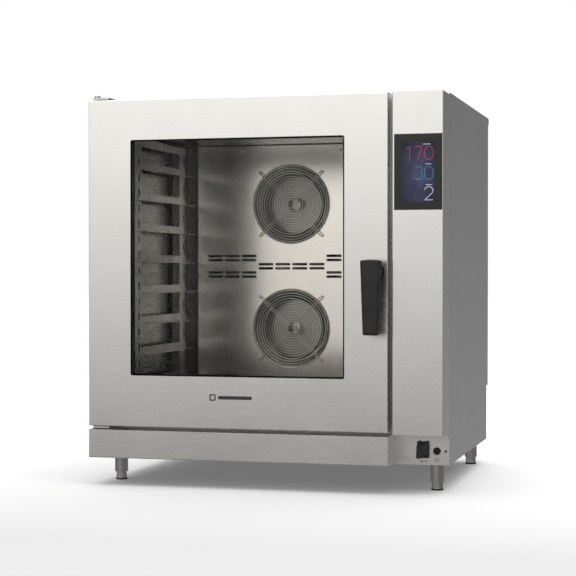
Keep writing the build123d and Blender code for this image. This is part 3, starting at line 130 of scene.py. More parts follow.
def graded_surround():
    """World light by direction d: in front a ramp over d.z, behind grey, and for the camera plain white."""
    world = bpy.data.worlds.new("surround")
    bpy.context.scene.world = world
    world.use_nodes = True
    tree = world.node_tree
    link = tree.links.new
    direction = tree.nodes.new("ShaderNodeTexCoord")
    split = tree.nodes.new("ShaderNodeSeparateXYZ")
    link(direction.outputs["Generated"], split.inputs[0])
    height = tree.nodes.new("ShaderNodeMapRange")
    height.inputs["From Min"].default_value = -1
    link(split.outputs["Z"], height.inputs["Value"])

    def ramp(stops):
        """A ramp over the height of the direction, from (height, colour) pairs."""
        made = tree.nodes.new("ShaderNodeValToRGB")
        made.color_ramp.interpolation = "LINEAR"
        while len(made.color_ramp.elements) < len(stops):
            made.color_ramp.elements.new(0.5)
        for element, (level, colour) in zip(made.color_ramp.elements, stops):
            element.position = (level + 1) / 2
            element.color = (*colour, 1)
        link(height.outputs[0], made.inputs[0])
        return made

    front = ramp([(-1.0, (0.10, 0.10, 0.10)), (-0.17, (0.04, 0.04, 0.04)), (0.0, (0.83, 0.825, 0.81)),
                  (0.17, (1.66, 1.64, 1.60)), (0.5, (1.20, 1.19, 1.17)), (1.0, (0.9, 0.9, 0.9))])
    side = ramp([(-1.0, (0.32, 0.32, 0.32)), (-0.1, (0.30, 0.30, 0.30)), (0.12, (0.17, 0.17, 0.17)),
                 (0.6, (0.35, 0.35, 0.35)), (1.0, (0.8, 0.8, 0.8))])
    rest = ramp([(-1.0, (0.3, 0.3, 0.3)), (-0.1, (0.20, 0.20, 0.20)), (0.1, (0.30, 0.30, 0.30)),
                 (0.5, (0.7, 0.7, 0.7)), (1.0, (0.9, 0.9, 0.9))])

    def sector(bearing, none, full):
        """1 within full degrees of a bearing measured from +Y towards +X, fading to 0 at none degrees."""
        towards = tree.nodes.new("ShaderNodeVectorMath")
        towards.operation = "DOT_PRODUCT"
        aim = math.radians(bearing)
        towards.inputs[1].default_value = (math.sin(aim), math.cos(aim), 0)
        link(direction.outputs["Generated"], towards.inputs[0])
        made = tree.nodes.new("ShaderNodeMapRange")
        made.interpolation_type = "SMOOTHSTEP"
        made.inputs["From Min"].default_value = math.cos(math.radians(none))
        made.inputs["From Max"].default_value = math.cos(math.radians(full))
        link(towards.outputs["Value"], made.inputs["Value"])
        return made

    grey_side = sector(14, 44, 26)
    in_front = sector(-165, 46, 24)

    def blend(share, first, second):
        """first where share is 0 and second where it is 1."""
        made = tree.nodes.new("ShaderNodeMix")
        made.data_type = "RGBA"
        link(share, made.inputs["Factor"])
        link(first, made.inputs[6])
        link(second, made.inputs[7])
        return made.outputs[2]

    behind = blend(grey_side.outputs[0], rest.outputs[0], side.outputs[0])
    graded = blend(in_front.outputs[0], behind, front.outputs[0])
    white = tree.nodes.new("ShaderNodeRGB")
    white.outputs[0].default_value = (1.0, 1.0, 1.0, 1)
    ray = tree.nodes.new("ShaderNodeLightPath")
    seen = blend(ray.outputs["Is Camera Ray"], graded, white.outputs[0])
    link(seen, tree.nodes["Background"].inputs["Color"])


graded_surround()
bpy.context.scene.view_settings.view_transform = "Standard"

# ---------------------------------------------------------------------------------------------
# Casing sheet: brushed stainless steel, 1.5 mm, folded. Fine lines run along the brushing, and a
# faint cloud in the polish is what hands and cloths leave on it.
# ---------------------------------------------------------------------------------------------


def finish(name, **constants):
    """A material with one Principled shader whose constants are set straight on its sockets."""
    made = bpy.data.materials.new(name)
    made.use_nodes = True
    shader = made.node_tree.nodes["Principled BSDF"]
    for socket, value in constants.items():
        shader.inputs[socket.replace("_", " ").title()].default_value = value
    return made, made.node_tree, shader


def noise(tree, place, scale, detail=3.0, roughness=0.5):
    """Noise over the object's own place, scaled by three numbers per metre."""
    stretch = tree.nodes.new("ShaderNodeMapping")
    stretch.inputs["Scale"].default_value = scale
    tree.links.new(place, stretch.inputs["Vector"])
    made = tree.nodes.new("ShaderNodeTexNoise")
    made.inputs["Scale"].default_value = 1.0
    made.inputs["Detail"].default_value = detail
    made.inputs["Roughness"].default_value = roughness
    tree.links.new(stretch.outputs[0], made.inputs["Vector"])
    return made.outputs["Fac"]


def remap(tree, value, low, high, start=0.3, end=0.7):
    """value from start to end becomes low to high."""
    made = tree.nodes.new("ShaderNodeMapRange")
    made.inputs["From Min"].default_value = start
    made.inputs["From Max"].default_value = end
    made.inputs["To Min"].default_value = low
    made.inputs["To Max"].default_value = high
    tree.links.new(value, made.inputs["Value"])
    return made.outputs[0]


def arithmetic(tree, operation, first, second):
    """Two values added or multiplied."""
    made = tree.nodes.new("ShaderNodeMath")
    made.operation = operation
    tree.links.new(first, made.inputs[0])
    tree.links.new(second, made.inputs[1])
    return made.outputs[0]


def shades(tree, value, dark, light):
    """A colour between dark and light, by a value from 0 to 1."""
    made = tree.nodes.new("ShaderNodeMix")
    made.data_type = "RGBA"
    made.inputs[6].default_value = (*dark, 1)
    made.inputs[7].default_value = (*light, 1)
    tree.links.new(value, made.inputs["Factor"])
    return made.outputs[2]


def relief(tree, shader, value, depth):
    """Lets value, from 0 to 1, raise the surface by depth metres."""
    made = tree.nodes.new("ShaderNodeBump")
    made.inputs["Distance"].default_value = depth
    made.inputs["Strength"].default_value = 1.0
    tree.links.new(value, made.inputs["Height"])
    tree.links.new(made.outputs[0], shader.inputs["Normal"])


def brushed_steel(name, colour, roughness, grain, spread=0.05, depth=0.000012, smudge=0.05):
    """Stainless sheet brushed along one axis. grain is the noise's scale along X, Y and Z, spread the
    share by which its tone varies, depth the height of the lines, and smudge how far its gloss varies."""
    made, tree, shader = finish(name, metallic=1.0)
    place = tree.nodes.new("ShaderNodeTexCoord").outputs["Object"]
    lines = noise(tree, place, grain, detail=4.0, roughness=0.65)
    cloud = noise(tree, place, (5.0, 5.0, 5.0), detail=4.0, roughness=0.6)
    pale = tuple(min(1.0, part * (1 + spread)) for part in colour)
    deep = tuple(part * (1 - spread) for part in colour)
    tree.links.new(shades(tree, remap(tree, lines, 0, 1), deep, pale), shader.inputs["Base Color"])
    polish = arithmetic(tree, "ADD", remap(tree, lines, roughness - 0.03, roughness + 0.03),
                        remap(tree, cloud, -smudge / 2, smudge / 2))
    tree.links.new(polish, shader.inputs["Roughness"])
    relief(tree, shader, lines, depth)
    return made


def dress(material, *names):
    """Gives CAD nodes a material."""
    for name in names:
        slots = nodes[name].material_slots
        if len(slots) == 0:
            nodes[name].data.materials.append(material)
        for place in slots:
            place.material = material


along_x = (14.0, 700.0, 900.0)
along_y = (900.0, 14.0, 900.0)
along_z = (900.0, 700.0, 14.0)

front_sheet = brushed_steel("front_sheet", (0.735, 0.725, 0.705), 0.27, along_x)
side_sheet = brushed_steel("side_sheet", (0.66, 0.66, 0.66), 0.33, along_y)
back_sheet = brushed_steel("back_sheet", (0.64, 0.64, 0.63), 0.34, along_x)
pan_sheet = brushed_steel("pan_sheet", (0.50, 0.50, 0.49), 0.42, along_x, spread=0.08)
dress(front_sheet, "front_frame", "lower_front_panel", "control_fascia", "drip_tray")
dress(side_sheet, "left_side_panel", "right_side_panel")
dress(back_sheet, "top_cover", "back_panel", "lower_back_panel")
dress(pan_sheet, "base_pan")

# ---------------------------------------------------------------------------------------------
# Door: a folded outer shell and an inner tray of the same brushed sheet, with two panes of warm
# tinted glass in a grey silicone seal. A black gasket seals the chamber, and it turns on brass bushes.
# ---------------------------------------------------------------------------------------------
door_sheet = brushed_steel("door_sheet", (0.74, 0.73, 0.71), 0.26, along_x)
tray_sheet = brushed_steel("door_inner_sheet", (0.62, 0.615, 0.60), 0.24, along_z)
dress(door_sheet, "door_skin")
dress(tray_sheet, "door_inner_frame")

pane, pane_tree, pane_shader = finish("window_glass", roughness=0.0)
pane_shader.inputs["IOR"].default_value = 1.12
pane_shader.inputs["Transmission Weight"].default_value = 1.0
pane_place = pane_tree.nodes.new("ShaderNodeTexCoord").outputs["Object"]
pane_tint = noise(pane_tree, pane_place, (9.0, 9.0, 9.0), detail=2.0)
pane_tone = shades(pane_tree, remap(pane_tree, pane_tint, 0, 1), (0.93, 0.92, 0.905), (0.955, 0.945, 0.93))
pane_tree.links.new(pane_tone, pane_shader.inputs["Base Color"])
dress(pane, "door_outer_glass", "door_inner_glass")


def moulded_plastic(name, dark, light, roughness, grain=1400.0, depth=0.00002, shine=0.3):
    """Moulded plastic: a fine spark-eroded grain, and slightly uneven gloss."""
    made, tree, shader = finish(name)
    shader.inputs["Specular IOR Level"].default_value = shine
    place = tree.nodes.new("ShaderNodeTexCoord").outputs["Object"]
    texture = noise(tree, place, (grain, grain, grain), detail=2.0)
    cloud = noise(tree, place, (30.0, 30.0, 30.0), detail=3.0)
    tree.links.new(shades(tree, remap(tree, cloud, 0, 1), dark, light), shader.inputs["Base Color"])
    tree.links.new(remap(tree, cloud, roughness - 0.04, roughness + 0.04), shader.inputs["Roughness"])
    relief(tree, shader, texture, depth)
    return made


seal_rubber = moulded_plastic("seal_rubber", (0.010, 0.010, 0.010), (0.018, 0.018, 0.017), 0.6, grain=900.0)
dress(seal_rubber, "door_gasket")
grey_silicone = moulded_plastic("grey_silicone", (0.16, 0.16, 0.155), (0.20, 0.20, 0.195), 0.6, grain=900.0)
dress(grey_silicone, "window_seal")

bush_brass = brushed_steel("bush_brass", (0.72, 0.55, 0.26), 0.28, along_z)
dress(bush_brass, "hinge_bushes")

# ---------------------------------------------------------------------------------------------
# Handle: a black glass-filled nylon lever, crowned in front and tapered downwards, on a round
# boss. It turns with the latch hook behind the door.
# ---------------------------------------------------------------------------------------------


def made_piece(name, surfaces, material, sharp=35.0):
    """An object from surfaces given as (points, around, ends): points P(i, j) make quads, around joins the
    last column to the first, and ends closes the first and last rows."""
    corners, faces, first = [], [], 0
    for points, around, ends in surfaces:
        rows, columns = points.shape[:2]
        number = first + np.arange(rows * columns).reshape(rows, columns)
        first += rows * columns
        corners.append(points.reshape(-1, 3))
        edge = np.concatenate([number, number[:, :1]], axis=1) if around else number
        cells = np.stack([edge[:-1, :-1], edge[:-1, 1:], edge[1:, 1:], edge[1:, :-1]], axis=-1)
        faces += cells.reshape(-1, 4).tolist()
        if ends:
            faces += [number[0].tolist(), number[-1].tolist()]
    mesh = bpy.data.meshes.new(name)
    mesh.from_pydata(np.concatenate(corners).tolist(), [], faces)
    shape = bmesh.new()
    shape.from_mesh(mesh)
    bmesh.ops.remove_doubles(shape, verts=shape.verts, dist=0.000002)
    bmesh.ops.recalc_face_normals(shape, faces=shape.faces)
    shape.to_mesh(mesh)
    shape.free()
    mesh.shade_smooth()
    mesh.set_sharp_from_angle(angle=math.radians(sharp))
    mesh.materials.append(material)
    made = bpy.data.objects.new(name, mesh)
    bpy.context.scene.collection.objects.link(made)
    return made


def turned(centre, axis, profile, steps=96):
    """A profile of (radius, height) points turned about an axis:
    P(i, j) = centre + r_i (cos a_j u + sin a_j v) + h_i axis, with u and v square to the axis."""
    axis = np.array(axis, float)
    u = np.cross(axis, (0.0, 0.0, 1.0) if abs(axis[2]) < 0.9 else (1.0, 0.0, 0.0))
    u /= np.linalg.norm(u)
    v = np.cross(axis, u)
    angle = np.linspace(0, 2 * np.pi, steps, endpoint=False)
    ring = np.cos(angle)[:, None] * u + np.sin(angle)[:, None] * v
    profile = np.array(profile, float)
    return np.array(centre) + profile[:, :1, None] * ring[None] + profile[:, 1:, None] * axis


def handle_lever(low, high, top_width, end_width, thick, round_off, crown):
    """Sections along Z, each a superellipse |x/a|^5 + |y/b|^5 = 1 whose front bulges by crown; a goes from
    end_width to top_width, and near both ends the sections draw in along a quarter circle."""
    turn = np.linspace(0, np.pi / 2, 7)
    middle = np.linspace(0, 1, 24)[1:-1]
    span = high[2] - low[2]
    level = np.concatenate([round_off * (1 - np.cos(turn)), round_off + middle * (span - 2 * round_off),
                            span - round_off * (1 - np.cos(turn[::-1]))])
    inset = np.concatenate([round_off * (1 - np.sin(turn)), 0 * middle, round_off * (1 - np.sin(turn[::-1]))])
    along = level / span
    half_width = (end_width + (top_width - end_width) * along) / 2 - inset
    half_depth = thick / 2 - inset
    angle = np.linspace(0, 2 * np.pi, 72, endpoint=False)
    power = 2 / 5
    across = np.sign(np.cos(angle)) * np.abs(np.cos(angle)) ** power
    deep = np.sign(np.sin(angle)) * np.abs(np.sin(angle)) ** power
    x = half_width[:, None] * across
    front = np.clip(-deep, 0, 1)
    y = half_depth[:, None] * deep + crown * front * across ** 2
    arch = crown * (1 - across ** 2) * (along[:, None] > 0.5) * np.clip(along[:, None] * 8 - 7, 0, 1)
    z = level[:, None] + arch - crown * np.clip(along[:, None] * 8 - 7, 0, 1)
    middle_x, middle_y = (low[0] + high[0]) / 2, low[1] + thick / 2
    return np.stack([middle_x + x, middle_y + y, low[2] + z], axis=-1)


handle_low, handle_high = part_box("door_handle")
lever_thick = 0.022
lever_top_width, lever_end_width = 0.054, 0.040
lever_round_off, lever_crown = 0.0035, 0.0022
handle_black = moulded_plastic("handle_black", (0.011, 0.011, 0.011), (0.017, 0.017, 0.017), 0.42,
                               grain=1500.0)
lever_sections = handle_lever(handle_low, handle_high, lever_top_width, lever_end_width, lever_thick,
                              lever_round_off, lever_crown)
lever = made_piece("handle_lever", [(lever_sections, True, True)], handle_black, sharp=50)
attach(lever, "handle")

pivot_x = (handle_low[0] + handle_high[0]) / 2
pivot_drop, boss_overlap = 0.031, 0.003
pivot_z = handle_high[2] - pivot_drop
boss_front = handle_low[1] + lever_thick - boss_overlap
boss_depth = handle_high[1] - boss_front
boss_profile = [(0.0235, 0), (0.0222, 0.006), (0.0216, boss_depth * 0.5), (0.0218, boss_depth - 0.0012),
                (0.0210, boss_depth)]
boss_shape = turned((pivot_x, boss_front, pivot_z), (0, 1, 0), boss_profile)
boss = made_piece("handle_boss", [(boss_shape, True, True)], handle_black)
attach(boss, "handle")
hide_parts("door_handle")
dress(handle_black, "handle_rosette")

hook_steel = brushed_steel("hook_steel", (0.56, 0.56, 0.55), 0.30, along_z)
dress(hook_steel, "latch_hook", "latch_strike", "hinge_brackets", "panel_screws", "steam_injector",
      "rack_studs")

# ---------------------------------------------------------------------------------------------
# Chamber: stainless, warmed a little by heat, with hook-in racks of bent sheet and a slotted baffle in front
# of the fans. The walls and racks are painted dark as painted shade inside the chamber, and the baffle is
# painted bright as painted light.
# ---------------------------------------------------------------------------------------------
# painted shade: walls and racks share a dark colour for the chamber's shade; painted light: the baffle gets a
# near-white one
chamber_sheet_painted_shade = brushed_steel("chamber_sheet_painted_shade", (0.23, 0.224, 0.218), 0.26, along_y, spread=0.04,
                              depth=0.000003, smudge=0.04)
baffle_sheet_painted_light = brushed_steel("baffle_sheet_painted_light", (0.95, 0.94, 0.92), 0.21, along_z, spread=0.02, depth=0.000003,
                             smudge=0.03)
rack_sheet_painted_shade = brushed_steel("rack_sheet_painted_shade", (0.25, 0.244, 0.238), 0.26, along_z, spread=0.05, depth=0.000004)
dress(chamber_sheet_painted_shade, "oven_cavity", "drain_strainer")
dress(baffle_sheet_painted_light, "fan_baffle")
dress(rack_sheet_painted_shade, "rack_frames", "left_rack_rails", "right_rack_rails")

# ---------------------------------------------------------------------------------------------
# Fan inlets: spun rings that lead the air into each wheel, of thin polished stainless, with a
# rolled rim that sits on the baffle
# ---------------------------------------------------------------------------------------------
baffle_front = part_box("fan_baffle")[0][1]
rim_radius, throat_radius = 0.1155, 0.0862
curve_depth, inlet_depth = 0.0275, 0.0285
inlet_wall = 0.0008
polished = brushed_steel("polished_steel", (0.52, 0.515, 0.50), 0.16, (60.0, 60.0, 60.0), spread=0.03,
                         depth=0.000002)
fan_centres = {}
for fan in ("upper", "lower"):
    guard_low, guard_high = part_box(f"{fan}_fan_guard")
    fan_centres[fan] = ((guard_low[0] + guard_high[0]) / 2, baffle_front, (guard_low[2] + guard_high[2]) / 2)


def inlet_profile(outside):
    """Radius and depth along the spun ring: a rolled rim, then r = throat + (rim - throat) (1 - t)^1.3
    to the throat, and a short collar. outside moves it outwards by the wall."""
    share = np.linspace(0, 1, 14)
    radius = throat_radius + (rim_radius - throat_radius) * (1 - share) ** 1.3
    depth = share * curve_depth
    rim = [(rim_radius + 0.0032, -0.0002), (rim_radius + 0.0022, -0.0007), (rim_radius + 0.0009, -0.0006)]
    wall = inlet_wall if outside else 0.0
    curve = [(r + wall, d) for r, d in rim] + [(r + wall, d) for r, d in zip(radius, depth)]
    return curve + [(throat_radius + wall, inlet_depth)]


for fan, centre in fan_centres.items():
    inner_side = inlet_profile(False)
    outer_side = inlet_profile(True)[::-1]
    outer_side = [(r, min(d + inlet_wall, inlet_depth)) for r, d in outer_side]
    profile = inner_side + outer_side + inner_side[:1]
    spun_ring = turned(centre, (0, 1, 0), profile, steps=128)
    inlet = made_piece(f"{fan}_fan_inlet_ring", [(spun_ring, True, False)], polished, sharp=50)
    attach(inlet, "root")

# ---------------------------------------------------------------------------------------------
# Fan guards: 2.6 mm bright stainless wire, flat rings welded to four hairpin legs. Each leg's end
# loops round a screw in the baffle.
# ---------------------------------------------------------------------------------------------
wire = 0.0026
ring_count, ring_step = 14, 0.0077
outer_ring = 0.114 - wire / 2
hairpin_width = 0.007
hairpin_start, screw_reach = 0.011, 0.133
hairpin_rise = wire * 1.2
bright_wire = brushed_steel("bright_wire", (0.90, 0.89, 0.87), 0.36, (120.0, 120.0, 120.0), spread=0.03,
                            depth=0.0000005, smudge=0.02)


def tube(path, radius, closed=False):
    """A round wire along a flat path: P(i, j) = c_i + r (cos a_j n_i + sin a_j y), where n_i is square to
    the path in its plane and y points to the back."""
    path = np.array(path, float)
    if closed:
        ahead = np.roll(path, -1, axis=0) - np.roll(path, 1, axis=0)
    else:
        ahead = np.gradient(path, axis=0)
    ahead /= np.linalg.norm(ahead, axis=1, keepdims=True)
    to_back = np.array((0.0, 1.0, 0.0))
    aside = np.cross(ahead, to_back)
    angle = np.linspace(0, 2 * np.pi, 10, endpoint=False)
    points = path[:, None] + radius * (np.cos(angle)[None, :, None] * aside[:, None] +
                                       np.sin(angle)[None, :, None] * to_back)
    return np.concatenate([points, points[:1]]) if closed else points


def guard_surfaces(centre):
    """Rings r_k = outer - k step, and for each of four directions a hairpin: out along one side, round a
    half circle at the screw, and back."""
    centre = np.array(centre)
    surfaces = []
    around = np.linspace(0, 2 * np.pi, 96, endpoint=False)
    for ring in range(ring_count):
        radius = outer_ring - ring * ring_step
        circle = np.stack([radius * np.cos(around), 0 * around, radius * np.sin(around)], axis=1)
        surfaces.append((tube(centre + (0, -wire / 2, 0) + circle, wire / 2, closed=True), True, False))
    half_turn = np.linspace(-np.pi / 2, np.pi / 2, 12)
    reach = np.linspace(hairpin_start, screw_reach, 8)
    for quarter in range(4):
        angle = math.radians(45 + 90 * quarter)
        out = np.array((math.cos(angle), 0, math.sin(angle)))
        aside = np.array((-math.sin(angle), 0, math.cos(angle)))
        bend = [screw_reach * out + hairpin_width / 2 * (math.cos(a) * out + math.sin(a) * aside)
                for a in half_turn[1:-1]]
        one_side = [r * out - hairpin_width / 2 * aside for r in reach]
        other_side = [r * out + hairpin_width / 2 * aside for r in reach[::-1]]
        hairpin = np.array(one_side + bend + other_side) + centre + (0, -hairpin_rise, 0)
        surfaces.append((tube(hairpin, wire / 2), True, True))
    return surfaces


for fan, centre in fan_centres.items():
    guard = made_piece(f"{fan}_guard_wires", guard_surfaces(centre), bright_wire, sharp=60)
    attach(guard, "root")
    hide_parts(f"{fan}_fan_guard")

# ---------------------------------------------------------------------------------------------
# Fan wheels: pressed stainless with turned plates, so the lines run round the axis. The blades between the
# plates are painted dark as painted shade, and a polished cap closes the hub.
# ---------------------------------------------------------------------------------------------
blade_inside, blade_fade = 0.075, 0.004
rim_depth, rim_fade = 0.0315, 0.0015
plate_depth, plate_fade = 0.0735, 0.001
painted_blade_shade_colour = (0.05, 0.047, 0.044)


def wheel_finish(name, centre):
    """Steel with painted shade: near black where the distance from the axis passes blade_inside, between
    the front rim and the rear plate."""
    made = brushed_steel(name, (0.52, 0.515, 0.505), 0.32, (60.0, 60.0, 60.0), spread=0.04, depth=0.000001,
                         smudge=0.03)
    tree = made.node_tree
    shader = tree.nodes["Principled BSDF"]
    shader.inputs["Anisotropic"].default_value = 0.6
    lines = tree.nodes.new("ShaderNodeTangent")
    lines.direction_type = "RADIAL"
    lines.axis = "Y"
    tree.links.new(lines.outputs[0], shader.inputs["Tangent"])
    place = tree.nodes.new("ShaderNodeTexCoord").outputs["Object"]
    parts = tree.nodes.new("ShaderNodeSeparateXYZ")
    tree.links.new(place, parts.inputs[0])
    away = tree.nodes.new("ShaderNodeVectorMath")
    away.operation = "DISTANCE"
    flat = tree.nodes.new("ShaderNodeCombineXYZ")
    tree.links.new(parts.outputs["X"], flat.inputs["X"])
    tree.links.new(parts.outputs["Z"], flat.inputs["Z"])
    tree.links.new(flat.outputs[0], away.inputs[0])
    away.inputs[1].default_value = (centre[0], 0, centre[2])
    outside = remap(tree, away.outputs["Value"], 0, 1, blade_inside, blade_inside + blade_fade)
    plate_y, rim_y = centre[1] + plate_depth, centre[1] + rim_depth
    before_plate = remap(tree, parts.outputs["Y"], 1, 0, plate_y - plate_fade, plate_y)
    behind_rim = remap(tree, parts.outputs["Y"], 0, 1, rim_y, rim_y + rim_fade)
    # painted shade: the blades between the front rim and the rear plate turn near black
    painted_blade_shade = arithmetic(tree, "MULTIPLY", arithmetic(tree, "MULTIPLY", outside, before_plate), behind_rim)
    tone = shader.inputs["Base Color"].links[0].from_socket
    mix = tree.nodes.new("ShaderNodeMix")
    mix.data_type = "RGBA"
    mix.inputs[7].default_value = (*painted_blade_shade_colour, 1)
    tree.links.new(painted_blade_shade, mix.inputs["Factor"])
    tree.links.new(tone, mix.inputs[6])
    tree.links.new(mix.outputs[2], shader.inputs["Base Color"])
    return made


hub_polish = brushed_steel("hub_polish", (0.90, 0.89, 0.87), 0.2, (90.0, 90.0, 90.0), spread=0.04,
                           depth=0.000004, smudge=0.03)
cap_profile = [(0.0001, 0.0475), (0.0034, 0.0475), (0.0036, 0.0442), (0.0060, 0.0440), (0.0105, 0.0452),
               (0.0160, 0.0468), (0.0205, 0.0486), (0.0212, 0.0496), (0.0212, 0.0502), (0.0001, 0.0502)]
for fan, centre in fan_centres.items():
    dress(wheel_finish(f"{fan}_wheel_steel", centre), f"{fan}_fan_wheel")
    cap = turned(centre, (0, 1, 0), cap_profile, steps=64)
    hub_cap = made_piece(f"{fan}_hub_cap", [(cap, True, True)], hub_polish, sharp=40)
    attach(hub_cap, f"{fan}_fan")

# ---------------------------------------------------------------------------------------------
# Heating elements: rods in a dull stainless sheath, bent into rings round each wheel and darkened
# by heat
# ---------------------------------------------------------------------------------------------
element_sheath = brushed_steel("element_sheath", (0.24, 0.225, 0.21), 0.45, (80.0, 80.0, 80.0), spread=0.12)
dress(element_sheath, "heating_elements")

# ---------------------------------------------------------------------------------------------
# Display: black-printed touch glass bonded into the fascia, with a lit screen behind it. The
# picture, its thin numerals and the label bars are drawn as films on the front of the glass.
# ---------------------------------------------------------------------------------------------
glass_low, glass_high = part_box("display_glass")
display_black = moulded_plastic("display_black", (0.008, 0.008, 0.008), (0.010, 0.010, 0.010), 0.16,
                                grain=300.0, depth=0.0, shine=0.32)
dress(display_black, "display_glass")
film = 0.0001
screen_margin_side, screen_margin_top = 0.0182, 0.0190
screen_left = glass_low[0] + screen_margin_side
screen_top = glass_high[2] - screen_margin_top
screen_width, screen_height = 0.0859, 0.1541
screen_y = glass_low[1] - film / 2


def rounded_slab(left, right, bottom, top, y_front, y_back, corner, steps=8):
    """A flat slab in the X-Z plane whose rows are the back outline and the front outline, with a quarter
    circle at each corner."""
    corner_angle = np.linspace(0, np.pi / 2, steps)
    outline = []
    for quarter, (cx, cz) in enumerate([(right - corner, top - corner), (left + corner, top - corner),
                                        (left + corner, bottom + corner), (right - corner, bottom + corner)]):
        angle = corner_angle + quarter * np.pi / 2
        outline.append(np.stack([cx + corner * np.cos(angle), cz + corner * np.sin(angle)], axis=1))
    outline = np.concatenate(outline)
    return np.stack([np.stack([outline[:, 0], np.full(len(outline), y), outline[:, 1]], axis=1)
                     for y in (y_back, y_front)])


screen_glow, glow_tree, glow_shader = finish("screen_glow", roughness=0.12)
glow_shader.inputs["Base Color"].default_value = (0.002, 0.002, 0.003, 1)
glow_shader.inputs["Specular IOR Level"].default_value = 0.2
glow_place = glow_tree.nodes.new("ShaderNodeTexCoord").outputs["Object"]
glow_centre = glow_tree.nodes.new("ShaderNodeMapping")
glow_x, glow_z = screen_left + 0.045, screen_top - 0.085
glow_scale_x, glow_scale_z = 16, 9
glow_centre.inputs["Location"].default_value = (-glow_x * glow_scale_x, 0, -glow_z * glow_scale_z)
glow_centre.inputs["Scale"].default_value = (glow_scale_x, 0, glow_scale_z)
glow_tree.links.new(glow_place, glow_centre.inputs["Vector"])
glow_ball = glow_tree.nodes.new("ShaderNodeTexGradient")
glow_ball.gradient_type = "SPHERICAL"
glow_tree.links.new(glow_centre.outputs[0], glow_ball.inputs[0])
glow_cloud = noise(glow_tree, glow_place, (45.0, 45.0, 28.0), detail=2.0)
glow_mix = arithmetic(glow_tree, "MULTIPLY", glow_ball.outputs["Fac"], remap(glow_tree, glow_cloud, 0.6, 1.2))
glow_tree.links.new(shades(glow_tree, glow_mix, (0.005, 0.006, 0.016), (0.060, 0.062, 0.130)),
                    glow_shader.inputs["Emission Color"])
glow_shader.inputs["Emission Strength"].default_value = 1.0
screen_sheet = rounded_slab(screen_left, screen_left + screen_width, screen_top - screen_height, screen_top,
                            screen_y - film, screen_y, corner=0.0008, steps=3)
picture = made_piece("screen_picture", [(screen_sheet, True, True)], screen_glow)
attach(picture, "root")


def stroke(points, width, y_front, closed=False, thick=film):
    """A flat printed line: P(i, j) = c_i + (w/2 or -w/2) n_i, at the front and the back of the line."""
    path = np.array(points, float)
    if closed:
        ahead = np.roll(path, -1, axis=0) - np.roll(path, 1, axis=0)
    else:
        ahead = np.gradient(path, axis=0)
    ahead /= np.linalg.norm(ahead, axis=1, keepdims=True)
    aside = np.stack([-ahead[:, 1], ahead[:, 0]], axis=1) * width / 2
    left, right = path + aside, path - aside
    rows = []
    for flat, y in ((left, y_front), (right, y_front), (right, y_front + thick), (left, y_front + thick)):
        rows.append(np.stack([flat[:, 0], np.full(len(flat), y), flat[:, 1]], axis=1))
    strip = np.stack(rows, axis=1)
    return np.concatenate([strip, strip[:1]]) if closed else strip


def oval(cx, cz, half_width, half_height, start=0.0, end=360.0, steps=40):
    """Points of an ellipse between two angles in degrees, 0 to the right and 90 up."""
    angle = np.radians(np.linspace(start, end, steps, endpoint=abs(end - start) < 360))
    return np.stack([cx + half_width * np.cos(angle), cz + half_height * np.sin(angle)], axis=1)


def line(*corners):
    """Straight runs between corners, with a few points on each."""
    corners = np.array(corners, float)
    runs = [np.linspace(a, b, 6)[:-1] for a, b in zip(corners[:-1], corners[1:])]
    return np.concatenate(runs + [corners[-1:]])


def numeral(digit, left, top, width, height):
    """Strokes of one thin numeral in a box, as (points, closed) pairs; each bowl is part of an ellipse."""
    right, bottom = left + width, top - height
    middle = (left + right) / 2
    if digit == "0":
        return [(oval(middle, (top + bottom) / 2, width / 2, height / 2), True)]
    if digit == "1":
        return [(line((left, top - 0.20 * height), (right, top), (right, bottom)), False)]
    if digit == "7":
        return [(line((left, top), (right, top), (left + 0.3 * width, bottom)), False)]
    if digit == "2":
        bowl = oval(middle, top - 0.30 * height, width / 2, 0.30 * height, start=170, end=-35, steps=24)
        return [(np.concatenate([bowl, line(bowl[-1], (left, bottom), (right, bottom))[1:]]), False)]
    upper = oval(middle - 0.02 * width, top - 0.24 * height, 0.42 * width, 0.24 * height, start=150, end=-70,
                 steps=22)
    lower = oval(middle - 0.02 * width, bottom + 0.28 * height, 0.50 * width, 0.28 * height, start=70,
                 end=-150, steps=24)
    return [(upper, False), (lower, False)]


def lit_colour(name, colour, strength):
    """A lit line of the display, slightly uneven along its length."""
    made, tree, shader = finish(name, roughness=0.3)
    shader.inputs["Base Color"].default_value = (0.01, 0.01, 0.01, 1)
    place = tree.nodes.new("ShaderNodeTexCoord").outputs["Object"]
    cloud = noise(tree, place, (120.0, 120.0, 120.0), detail=1.0)
    dim = tuple(part * 0.85 for part in colour)
    tree.links.new(shades(tree, remap(tree, cloud, 0, 1), dim, colour), shader.inputs["Emission Color"])
    shader.inputs["Emission Strength"].default_value = strength
    return made


line_y = screen_y - 2 * film
numeral_height = 0.0335
line_width = 0.0012
reading_red, reading_blue, reading_white = (0.50, 0.022, 0.055), (0.02, 0.26, 0.45), (0.80, 0.80, 0.84)
# each reading: its digits, their left edges and widths, its drop below the screen's top, its colour
readings = {
    "temperature_reading": ("170", (0.0118, 0.0360, 0.0592), (0.0100, 0.0175, 0.0228), 0.0132, reading_red),
    "time_reading": ("30", (0.0335, 0.0592), (0.0220, 0.0228), 0.0638, reading_blue),
    "phase_reading": ("2", (0.0600,), (0.0212,), 0.1150, reading_white),
}
for name, (digits, lefts, widths, drop, colour) in readings.items():
    strokes = []
    for digit, left, width in zip(digits, lefts, widths):
        for points, closed in numeral(digit, screen_left + left, screen_top - drop, width, numeral_height):
            strokes.append((stroke(points, line_width, line_y, closed=closed), True, not closed))
    reading = made_piece(name, strokes, lit_colour(name, colour, 1.0))
    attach(reading, "root")

label_colour = lit_colour("label_colour", (0.55, 0.55, 0.60), 1.0)
label_height, label_corner = 0.0016, 0.0007
